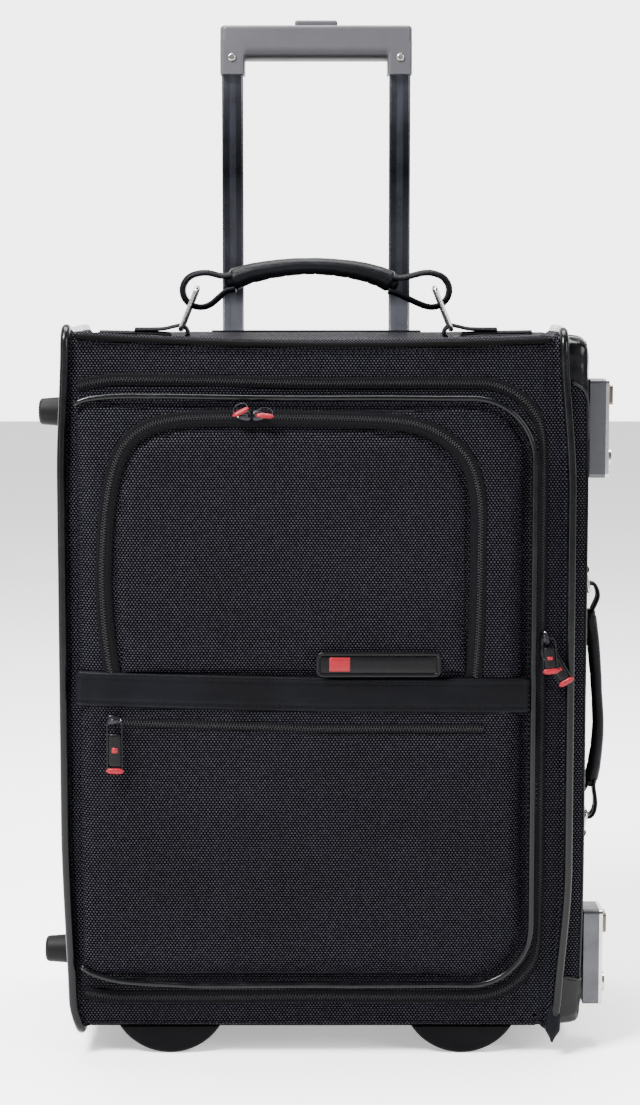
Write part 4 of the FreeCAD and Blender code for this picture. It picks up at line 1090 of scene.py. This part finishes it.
def make_flap_pad():
    """The pocket's padded flap, inside the band of smooth tape that its zip runs along."""
    arch = flap_line(4.4 * MM, 0.0)
    foot = straight(arch[-1], arch[0], 8 * MM)
    slab = padded_slab(arch[::2] + foot[1:-1], FLAP_HIGH.y, FLAP_LOW.y + 4.5 * MM)
    pad = piece("pocket_flap_pad", slab, NYLON, "flap", ["pocket_flap"])
    swell(pad, 4 * MM, 3.5, 3.5 * MM)
    for vertex in pad.data.vertices:
        x, y, z = vertex.co
        facing = smooth(FLAP_HIGH.y, FLAP_LOW.y + 2 * MM, y)
        y += (rumple(vertex.co, 0.06, 1.2 * MM, 21.0)
              + rumple(Vector((x, y, z * 2.2)), 0.07, 0.5 * MM, 23.0)) * facing
        vertex.co = (x, min(y, FLAP_HIGH.y - 0.05 * MM), z)
    rounded(pad)


def make_flap_zip():
    """The pocket's zip, with its tape narrower on the outside of the arch."""
    path = waved(flap_line(0.0, FLAP_HIGH.y - 0.1 * MM), x=(0.08, 0.5, 31.0), z=(0.08, 0.5, 33.0))
    zip_line("flap_zip", path, (0, -1, 0), "flap", ["flap_zip"], 7.2 * MM, 0.3 * MM, settled=False,
             tape_sides=(0.66, 1.0))


def make_badge():
    """A small moulded label with no lettering: raised rim, black field and one red block."""
    box_low, box_high = low("badge"), high("badge")
    y, inset = box_low.y + 0.5 * MM, 1.6 * MM
    z0, z1 = box_low.z - 1 * MM, box_high.z
    x0, x1 = box_low.x + inset, box_high.x - inset
    rim_path = route([(x0, y, z0 + inset), (x1, y, z0 + inset), (x1, y, z1 - inset), (x0, y, z1 - inset)],
                     [3.4 * MM] * 4, 1.2 * MM, closed=True)
    rim = sweep(rim_path, ring_of(inset, 12, 0.9), (0, -1, 0), closed=True)
    piece("badge_rim", rim, BADGE_BLACK, "flap", ["badge"])
    field = panel_rows((box_low.x + 2 * MM, y - 0.4 * MM, z0 + 2 * MM),
                       (box_high.x - box_low.x - 4 * MM, 0, 0), (0, 0, z1 - z0 - 4 * MM), (0, -1, 0),
                       0.25 * MM, 41.0, 3 * MM, 0.3 * MM, 0.05 * MM)
    piece("badge_field", plate(field, (0, 2.2 * MM, 0)), BADGE_BLACK, "flap")
    block_low = (box_low.x + 9 * MM, y - 0.8 * MM, z0 + 3.6 * MM)
    block = panel_rows(block_low, (16 * MM, 0, 0), (0, 0, z1 - z0 - 7.2 * MM), (0, -1, 0),
                       0.35 * MM, 43.0, 2 * MM, 0.6 * MM, 0.02 * MM)
    piece("badge_block", plate(block, (0, 1.2 * MM, 0)), RED, "flap")


make_flap_pad()
make_flap_zip()
make_badge()


# ---- the lid over the right-hand opening ----

LID_COLUMNS = 216
LID_EDGE_ROW = 6


def make_lid():
    """A shallow soft hood, its wall rounded over to the outer face. Gives the rows of its outside."""
    y0, y1, z0, z1 = LID_LOW.y, LID_HIGH.y, LID_LOW.z, LID_HIGH.z
    # each row's place outward from the hood's mouth or its outer face, and its distance in from the edges
    mouth = ((0, 0.6), (2.5, 0.15), (5, 0.0))
    face = ((-7, 0.0), (-5, 0.5), (-3.2, 1.4), (-1.8, 3.0), (-0.8, 5.2), (-0.2, 8.0), (0.2, 14.0),
            (0.9, 26.0), (1.6, 44.0), (2.0, 68.0), (2.2, 94.0))
    x0 = LID_LOW.x - 0.5 * MM
    profile = [(x0 + out * MM, inset) for out, inset in mouth]
    profile += [(LID_HIGH.x + out * MM, inset) for out, inset in face]
    outer = []
    for x, inset in profile:
        step = inset * MM
        bend = max(1.0 * MM, 9 * MM - step * 0.6)
        loop = route([(x, y0 + step, z0 + step), (x, y1 - step, z0 + step), (x, y1 - step, z1 - step),
                      (x, y0 + step, z1 - step)], [bend] * 4, 6 * MM, closed=True)
        soft = smooth(4.0, 20.0, inset)
        outer.append([point + Vector((rumple(point, 0.06, 0.9 * MM, 51.0) * soft, 0, 0))
                      for point in resampled(loop, LID_COLUMNS)])
    middle = Vector(((y0 + y1) / 2, (z0 + z1) / 2))
    inner = [[Vector((max(x0, point.x - 3 * MM), *point.yz.lerp(middle, 0.03))) for point in row]
             for row in outer]
    wide, last = LID_COLUMNS, (len(outer) - 1) * LID_COLUMNS
    base = last + wide
    faces = []
    for here in range(0, last, wide):
        for j in range(wide):
            k, there = (j + 1) % wide, here + wide
            faces.append((here + j, here + k, there + k, there + j))
            faces.append((base + here + j, base + there + j, base + there + k, base + here + k))
    faces += [(j, base + j, base + (j + 1) % wide, (j + 1) % wide) for j in range(wide)]
    faces += [tuple(range(last, last + wide)), tuple(range(base + last, base + last + wide))]
    points = [point for row in outer + inner for point in row]
    piece("lid_skin", (points, faces), NYLON, "lid", ["lid_panel"], settled=True)
    edge = [point + mm(0.4, 0, 0) for point in outer[LID_EDGE_ROW]]
    cord = sweep(edge, ring_of(0.9 * MM, 8), (1, 0, 0), closed=True)
    piece("lid_edge_cord", cord, PIPING, "lid", ["lid_piping"], settled=True)
    return outer


def resampled(loop, count):
    """A closed path as count evenly spaced points, starting at its first point."""
    lengths = [(loop[(i + 1) % len(loop)] - loop[i]).length for i in range(len(loop))]
    total, points, index, gone = sum(lengths), [], 0, 0.0
    for k in range(count):
        target = total * k / count
        while gone + lengths[index] < target:
            gone += lengths[index]
            index += 1
        points.append(loop[index].lerp(loop[(index + 1) % len(loop)], (target - gone) / lengths[index]))
    return points


LID_ROWS = make_lid()


def make_corner_patch(name, corner_column, reach_up, reach_back, slope):
    """A vinyl patch over one front corner of the lid, with a thin cord sewn round its edge."""
    steps, covered = 24, LID_ROWS[1:11]
    rows = []
    for index, row in enumerate(covered):
        lean = slope * index / (len(covered) - 1)
        start, end = corner_column - reach_up - lean, corner_column + reach_back + lean
        line = []
        for k in range(steps + 1):
            place = start + (end - start) * k / steps
            first = math.floor(place)
            spot = row[first % LID_COLUMNS].lerp(row[(first + 1) % LID_COLUMNS], place - first)
            wrinkle = 0.5 * MM * math.sin(k * 0.9 + index * 0.7) * math.sin(math.pi * k / steps)
            away = Vector((0.25 + 0.09 * index, *(spot - LID_MIDDLE).normalized().yz))
            line.append(spot + away.normalized() * (1.0 * MM + wrinkle))
        rows.append(line)
    piece(name, plate(rows, (-0.8 * MM, 0, 0)), CORNER, "lid", settled=True)
    for side, edge in (("upper", [row[0] for row in rows]), ("rear", [row[-1] for row in rows])):
        cord = sweep(edge, ring_of(1.1 * MM, 8), (1, -1, 0))
        piece(f"{name}_{side}_cord", cord, PIPING, "lid", settled=True)


LID_MIDDLE = Vector((LID_LOW.x, (LID_LOW.y + LID_HIGH.y) / 2, (LID_LOW.z + LID_HIGH.z) / 2))
LID_DEEP, LID_TALL = LID_HIGH.y - LID_LOW.y, LID_HIGH.z - LID_LOW.z
COLUMN = LID_COLUMNS / (2 * (LID_DEEP + LID_TALL))
make_corner_patch("lid_top_corner", (LID_DEEP * 2 + LID_TALL) * COLUMN,
                  20 * MM * COLUMN, 34 * MM * COLUMN, 12 * MM * COLUMN)
make_corner_patch("lid_bottom_corner", 0.0, 30 * MM * COLUMN, 20 * MM * COLUMN, -8 * MM * COLUMN)


# ---- carrying handles ----

HANDLE_Y = middle_of("handle_ring_left").y
RING_X = 100 * MM


def make_cuff(name, body, path, half, taper, sides, flat, up):
    """The leather band that closes one end of a grip, narrower at both its edges."""
    def section(share):
        return ring_of(half - taper * abs(2 * share - 1) ** 3, sides, flat)

    piece(name, sweep(path, section, up), LEATHER, body)


def leather_grip(name, path, half, body, creases, side_up):
    """A padded leather grip: fatter at its ends, with creases pressed across its inner side."""
    def section(share):
        fat = 1.0 + 0.32 * abs(2 * share - 1) ** 1.6
        end = 1.0 - 0.35 * smooth(0.96, 1.0, abs(2 * share - 1))
        shape = []
        for k in range(20):
            turn = 2 * math.pi * k / 20
            inner_side = max(0.0, -math.sin(turn))
            crease = sum(math.exp(-((share - spot) / 0.009) ** 2) for spot in creases)
            soft = 1 + 0.03 * noise.noise(Vector((share * 14, math.cos(turn), math.sin(turn))))
            radius = half * fat * end * soft * (1 - 0.07 * crease * inner_side)
            shape.append((radius * 1.25 * math.cos(turn), radius * math.sin(turn)))
        return shape

    piece(name, sweep(path, section, side_up), GRIP_LEATHER, body, [body])


def make_top_handle():
    """The padded grip with its cuffs, and at each end a strap looped over the ring's top bar."""
    grip = flow(near(Vector((CENTRE - 3 * MM, HANDLE_Y, TOP)), (-60, 39.5), (-44, 45), (-20, 49), (4, 50),
                     (30, 47.5), (48, 43), (60, 38)), 1.5 * MM)
    creases = [0.13, 0.24, 0.33, 0.45, 0.52, 0.63, 0.72, 0.84, 0.9]
    leather_grip("top_handle_grip", grip, 6.2 * MM, "top_handle", creases, (0, 0, 1))
    seams = []
    for edge in (-1, 1):
        seam = [point + mm(0, edge * 6.6, -1.5) for point in grip[8:-8]]
        seams.append(stitches(seam, 2.8 * MM, 1.2 * MM, 0.3 * MM))
    for side, name, end in ((-1, "left", grip[0]), (1, "right", grip[-1])):
        cuff = flow([*near(end, (-4, 1.2), side=side), end, *near(end, (4, -1.6), side=side)], 0.8 * MM)
        make_cuff(f"top_handle_cuff_{name}", "top_handle", cuff, 7.8 * MM, 2.2 * MM, 18, 0.86, (0, 0, 1))
        ring_top = Vector((CENTRE + side * 88 * MM, HANDLE_Y, TOP + 34 * MM))
        loop = flow(near(end, (-2, 2), (7, 1.2), side=side)
                    + near(ring_top, (-8, 8.9), (0, 8.3), (5.6, 5.4), (8.6, -0.5), (7, -7), (1, -11.4),
                           (-8, -10.6), side=side)
                    + near(end, (5, -6.5), (-3, -4.2), side=side), 1.5 * MM)
        inside = ring_top + mm(-side * 6, 0, -1)
        strap = sweep(loop, strap_of(17 * MM, 4.2 * MM, 0.3 * MM), lambda spot, along: spot - inside)
        piece(f"top_handle_strap_{name}", strap, LEATHER, "top_handle")
        for edge in (-1, 1):
            seam = [point + (point - inside).normalized() * 3.8 * MM + mm(0, edge * 6.4, 0)
                    for point in loop[4:14]]
            seams.append(stitches(seam, *FINE_STITCH))
    piece("top_handle_stitches", joined(seams), THREAD, "top_handle")


def make_handle_tabs():
    """Leather tabs on the top: each folds round its ring's foot and is sewn down in two layers."""
    parts, rows = [], []
    for side in (-1, 1):
        root = Vector((CENTRE + side * RING_X, HANDLE_Y, TOP))
        foot = root + mm(0, 0, 3.6)
        path = flow(near(root, (60, 0.5), (40, 0.8), (22, 1.0), (8, 0.6), side=side)
                    + near(foot, (-0.6, -3.6), (-4, -0.4), (-0.8, 3.5), (5, 2.6), (14, 0.6), (34, -0.4),
                           side=side), 1.2 * MM)

        def outward(spot, along, foot=foot):
            return Vector((0, 0, 1)) if abs(spot.x - foot.x) > 7 * MM else spot - foot

        parts.append(sweep(path, strap_of(18 * MM, 2.5 * MM, 0.3 * MM), outward))
        for edge in (-1, 1):
            for start, end, up in ((38, 58, 3.1), (9, 33, 6.2)):
                row = near(root + mm(0, edge * 6.8, 0), (start, up), (end, up - 0.4), side=side)
                rows.append(stitches(row, *FINE_STITCH))
    piece("handle_tab_straps", joined(parts), LEATHER, "case", ["handle_tabs"], settled=True)
    piece("handle_tab_stitches", joined(rows), THREAD, "case", settled=True)


def make_side_handle():
    """The hanging handle on the lid: its grip sags low and stands out most near its lower end."""
    box_low, box_high = low("side_handle"), high("side_handle")
    middle = Vector((box_high.x - 5.5 * MM, HANDLE_Y, (box_low.z + box_high.z) / 2))
    grip = flow(near(middle, (-8, 66), (-4, 40), (-1.4, 8), (0, -22), (-2.5, -48), (-5.5, -62)), 1.5 * MM)
    creases = [0.12, 0.2, 0.36, 0.5, 0.64, 0.78, 0.88]
    leather_grip("side_handle_grip", grip, 4.3 * MM, "side_handle", creases, (1, 0, 0))
    for name, end, way, eye_z in (("upper", grip[0], 1, box_high.z - 8 * MM),
                                  ("lower", grip[-1], -1, box_low.z + 8 * MM)):
        eye = Vector((box_low.x + 7.4 * MM, HANDLE_Y, eye_z))
        loop = flow(near(end, (1.8, -3), (1.4, 3), way=way)
                    + near(eye, (5.6, -2), (2.6, 6), (-4, 4.6), (-6, -1), (-4, -9), way=way)
                    + near(end, (-1.8, 2), (-1, -3), way=way), 1.2 * MM)
        strap = sweep(loop, strap_of(15 * MM, 2.5 * MM, 0.2 * MM), lambda spot, along: spot - eye)
        piece(f"side_handle_strap_{name}", strap, LEATHER, "side_handle")
        cuff = flow(near(end, (0, -4), (0, 0), (0, 3.5), way=way), 0.8 * MM)
        make_cuff(f"side_handle_cuff_{name}", "side_handle", cuff, 6.4 * MM, 2 * MM, 16, 0.8, (1, 0, 0))


def make_lid_hinge():
    """The strip of fabric along the rear edge that the lid turns on."""
    axis_x, axis_y = high("lid_panel").x - 5.2 * MM, REAR + 5.5 * MM
    axis = Vector((axis_x, axis_y, 0))
    profile = flow([axis + mm(out, back, 0) for out, back in ((-14, -3.6), (-8, -0.6), (-2, 0.5), (3, -1.4),
                                                              (5.4, -5.5), (6, -11))], 1.5 * MM)
    rows, steps, margin = [], 80, 16 * MM
    for k in range(steps + 1):
        z = BOTTOM + margin + (TOP - BOTTOM - 2 * margin) * k / steps
        end = 1.5 * MM * (1 - min(1.0, min(k, steps - k) / 2))
        rows.append([point + Vector((0, rumple(Vector((point.x, 0, z)), 0.05, 0.5 * MM, 61.0) - end, z))
                     for point in profile])
    strip = piece("lid_hinge_strip", plate(rows, (-0.6 * MM, -0.9 * MM, 0)), NYLON, None)
    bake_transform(strip)


make_top_handle()
make_handle_tabs()
make_side_handle()
make_lid_hinge()


# ---- finishes of the CAD parts that show as they are ----

FINISHES = {
    "divider_panel": LINING, "tyre_left": TREAD, "tyre_right": TREAD,
    "hub_left": BLACK_PLASTIC, "hub_right": BLACK_PLASTIC, "bearings_left": STEEL, "bearings_right": STEEL,
    "wheel_fork_left": BLACK_PLASTIC, "wheel_fork_right": BLACK_PLASTIC, "wheel_axles": STEEL,
    "front_stands": STAND_PLASTIC, "side_feet": RUBBER,
    "outer_tubes": STEEL, "inner_tubes": TUBE_METAL,
    "trolley_bezel": BLACK_PLASTIC, "trolley_bracket": BLACK_PLASTIC,
    "grip_upper_shell": GRIP_PLASTIC, "grip_lower_shell": GRIP_PLASTIC, "grip_screws": NICKEL,
    "release_button": GRIP_PLASTIC, "pushrods": STEEL, "lock_pin_left": STEEL, "lock_pin_right": STEEL,
    "latch_button_upper": KNOB_METAL, "latch_button_lower": KNOB_METAL,
    "latch_housings": HOUSING, "latch_plates": NICKEL,
    "handle_ring_left": NICKEL, "handle_ring_right": NICKEL,
    "side_ring_lower": NICKEL, "side_ring_upper": NICKEL,
    "side_tabs": LEATHER,
}

for node, finish in FINISHES.items():
    dress(node, finish)


# ---- zip sliders and pulls ----

def wire_pull(name, top, tip, wide, out, insert=True, across=None, settled=False):
    """A wire frame with a rounded head, a rubber insert and a red moulded bar across its end."""
    top, tip, out = Vector(top), Vector(tip), Vector(out).normalized()
    down, long = (tip - top).normalized(), (tip - top).length
    across = Vector(across).normalized() if across else down.cross(out).normalized()
    half = wide / 2 - 0.5 * MM
    wire = route([top - across * half + down * long, top - across * half, top + across * half,
                  top + across * half + down * long], [0, half * 0.9, half * 0.9, 0], 0.8 * MM)
    piece(name + "_wire", sweep(wire, ring_of(0.42 * MM, 8), out), DARK_WIRE, name, [name],
          settled)

    def bar_section(share):
        end = max(0.25, 1 - abs(2 * share - 1) ** 5)
        groove = 1 - 0.07 * (math.sin(share * math.pi * 9) ** 8)
        return ring_of(1.5 * MM * end * groove, 14, 1.45)

    bar = [tip + across * wide * (k / 14 - 0.5) * 1.12 for k in range(15)]
    piece(name + "_bar", sweep(bar, bar_section, down), RED, name, settled=settled)
    if not insert:
        return
    rows = []
    for k in range(13):
        spot = top + down * long * (0.3 + 0.62 * k / 12)
        narrow = half - 0.7 * MM - (0.8 * MM if k in (0, 12) else 0.0)
        rows.append([spot + across * narrow * share + out * 0.5 * MM * (1 - share ** 4)
                     for share in (2 * j / 6 - 1 for j in range(7))])
    rubber = plate(rows, out * -0.9 * MM)
    piece(name + "_insert", rubber, BADGE_BLACK, name, settled=settled)
    edge, lift = across * half * 0.42, out * 0.35 * MM
    mark = [[row[3] - edge + lift, row[3] + out * 0.5 * MM, row[3] + edge + lift] for row in rows[5:8]]
    piece(name + "_mark", plate(mark, out * -0.5 * MM), RED, name, settled=settled)


def zip_slider(name, body, nodes, middle, along, long=9.5 * MM, settled=False):
    """A zip slider: a waisted body, a bridge over it and a small bright rivet."""
    middle, along, out = Vector(middle), Vector(along), Vector((0, -1, 0))
    spine = [middle + along * long * (k / 12 - 0.5) for k in range(13)]

    def section(share):
        half = 3.6 * MM - 1.3 * MM * smooth(0.3, 1.0, share) - 1.2 * MM * (abs(2 * share - 1) ** 8)
        right = [(half, -1.2 * MM), (half + 0.2 * MM, 0.2 * MM), (half - 0.7 * MM, 1.1 * MM)]
        left = [(-across, up) for across, up in reversed(right)]
        return [left[-1], *right, (0.0, 1.5 * MM), *left[:-1]]

    bridge = flow([middle + along * ahead * MM + out * up * MM for ahead, up in
                   ((-3.4, 1.0), (-2.4, 3.0), (0, 3.5), (2.2, 2.6), (3.0, 1.0))], 0.5 * MM)
    shape = joined([sweep(spine, section, out), sweep(bridge, strap_of(2.4 * MM, 0.9 * MM, 0.2 * MM), out)])
    piece(name + "_body", shape, GUNMETAL, body, nodes, settled)

    def domed(share):
        return ring_of(1.3 * MM - 0.7 * MM * share ** 3, 12)

    rivet = [middle + along * 3.6 * MM + out * (1.2 + 0.25 * k) * MM for k in range(4)]
    piece(name + "_rivet", sweep(rivet, domed, along.cross(out)), NICKEL, body,
          settled=settled)


def make_sliders_and_pulls():
    """The sliders and pulls of the three zips, each where its CAD part is."""
    front, half_long, sunk = (0, -1, 0), 5 * MM, 1.2 * MM
    for side, rise, tip_up in (("left", 0.5, 3.2), ("right", -0.08, 0.6)):
        name = "flap_pull_" + side
        middle = middle_of(name)
        tip = Vector((middle.x, low(name).y, middle.z)) + mm(1, -0.6, tip_up)
        top = tip + mm(-rise * 2.4, 6, 5.2)
        wire_pull(name, top, tip, 11.4 * MM, (0, -1, 1), False, (1, 0, rise))
    slide_low, slide_high = low("flap_sliders"), high("flap_sliders")
    y, z = slide_high.y - sunk, middle_of("flap_sliders").z
    zip_slider("flap_slider_left", "flap", ["flap_sliders"], (slide_low.x + half_long, y, z), (-1, 0, 0))
    zip_slider("flap_slider_right", "flap", [], (slide_high.x - half_long, y, z), (1, 0, 0))

    main_low, main_high = low("main_sliders"), high("main_sliders")
    x, y = middle_of("main_sliders").x, main_high.y - sunk
    zip_slider("main_slider_upper", "case", ["main_sliders"], (x, y, main_high.z - half_long), (0, 0, 1))
    zip_slider("main_slider_lower", "case", [], (x, y, main_low.z + half_long), (0, 0, -1))
    x, y, _ = middle_of("main_pull_upper")
    wire_pull("main_pull_upper", (x - 1 * MM, y, high("main_pull_upper").z + 1 * MM),
              (x + 1.2 * MM, y, low("main_pull_upper").z + 3.8 * MM), 10.6 * MM, front)
    pull_low, pull_high = low("main_pull_lower"), high("main_pull_lower")
    y = middle_of("main_pull_lower").y
    wire_pull("main_pull_lower", (pull_low.x + 4.4 * MM, y, pull_high.z - 1.5 * MM),
              (pull_high.x - 3.6 * MM, y, pull_low.z + 2.2 * MM), 10.6 * MM, front)

    x, _, z = middle_of("pocket_slider")
    zip_slider("pocket_slider", "pocket_slider", ["pocket_slider"],
               (x, high("pocket_slider").y - sunk, z), (1, 0, 0), settled=True)
    x, y, _ = middle_of("pocket_pull")
    hang_low, hang_high = low("pocket_pull"), high("pocket_pull")
    wire_pull("pocket_pull", (x, y, hang_high.z - 0.6 * MM), (x, y, hang_low.z + 2.2 * MM),
              hang_high.x - hang_low.x, front, settled=True)


make_sliders_and_pulls()


# ---- light, floor and camera ----

def soft_light(name, place, target, size, watts):
    """A rectangular lamp aimed at a point."""
    data = bpy.data.lights.new(name, "AREA")
    data.shape = "RECTANGLE"
    data.size, data.size_y = size
    data.energy = watts
    lamp = bpy.data.objects.new(name, data)
    bpy.context.scene.collection.objects.link(lamp)
    lamp.location = place
    lamp.rotation_euler = (Vector(target) - Vector(place)).to_track_quat("-Z", "Y").to_euler()


def make_floor():
    """White paper under the case, glowing a little so that it stays near white."""
    mesh = bpy.data.meshes.new("studio_floor")
    corners = [(x * FLOOR_HALF, y * FLOOR_HALF, FLOOR) for x, y in ((-1, -1), (1, -1), (1, 1), (-1, 1))]
    mesh.from_pydata(corners, [], [(0, 1, 2, 3)])
    item = bpy.data.objects.new("studio_floor", mesh)
    bpy.context.scene.collection.objects.link(item)
    kit = Nodes("floor_paper", 0.75, Emission_Color=(1.0, 1.0, 1.0, 1.0))
    kit.colour(kit.ramp(kit.noise(3.0, 2.0), (0.3, (0.93, 0.93, 0.93)), (0.7, (0.97, 0.97, 0.97))))
    kit.shader.inputs["Emission Strength"].default_value = 0.5
    mesh.materials.append(kit.material)


def make_studio():
    """A white surround, brighter behind the case and dimmer overhead, and four soft lamps."""
    world = bpy.data.worlds.new("studio")
    bpy.context.scene.world = world
    world.use_nodes = True
    tree = world.node_tree
    background = tree.nodes["Background"]
    background.inputs["Color"].default_value = (1.0, 1.0, 1.0, 1.0)
    way = tree.nodes.new("ShaderNodeSeparateXYZ")
    tree.links.new(tree.nodes.new("ShaderNodeTexCoord").outputs["Generated"], way.inputs[0])

    def fade(axis, kind, *values):
        """A brightness from one way of looking: the range it fades over, then its two values."""
        node = tree.nodes.new("ShaderNodeMapRange")
        node.interpolation_type = kind
        tree.links.new(way.outputs[axis], node.inputs["Value"])
        for socket, value in zip(("From Min", "From Max", "To Min", "To Max"), values):
            node.inputs[socket].default_value = value
        return node.outputs[0]

    behind = fade("Y", "SMOOTHSTEP", -0.1, 0.8, 0.5, 4.6)
    overhead = fade("Z", "LINEAR", 0.25, 0.6, 1.0, 0.3)
    glow = tree.nodes.new("ShaderNodeMath")
    glow.operation = "MULTIPLY"
    tree.links.new(behind, glow.inputs[0])
    tree.links.new(overhead, glow.inputs[1])
    tree.links.new(glow.outputs[0], background.inputs["Strength"])
    middle = (CENTRE, 0.0, 0.3)
    soft_light("key", (-0.9, -0.95, 1.85), middle, (0.7, 0.7), 185)
    soft_light("fill", (1.9, -1.6, 1.4), middle, (0.8, 1.4), 70)
    soft_light("strip", (-1.5, -1.25, 0.5), middle, (0.16, 1.7), 15)
    soft_light("top", (0.0, 0.4, 2.4), middle, (1.6, 1.0), 150)


# The camera: its lens and sensor in mm, its place in metres, and its tilt down in degrees.
LENS, SENSOR = 76.9, 36.0
CAMERA_SIDE, CAMERA_FAR, CAMERA_HIGH = 0.003, 1.678, 0.549
CAMERA_TILT = 6.1


def make_camera():
    """The camera where the photograph was taken from."""
    data = bpy.data.cameras.new("photo_camera")
    data.sensor_width = SENSOR
    data.lens = LENS
    camera = bpy.data.objects.new("photo_camera", data)
    bpy.context.scene.collection.objects.link(camera)
    camera.location = (CENTRE + CAMERA_SIDE, FRONT - CAMERA_FAR, CAMERA_HIGH)
    camera.rotation_euler = (math.radians(90 - CAMERA_TILT), 0.0, 0.0)
    bpy.context.scene.camera = camera


make_floor()
make_studio()
make_camera()
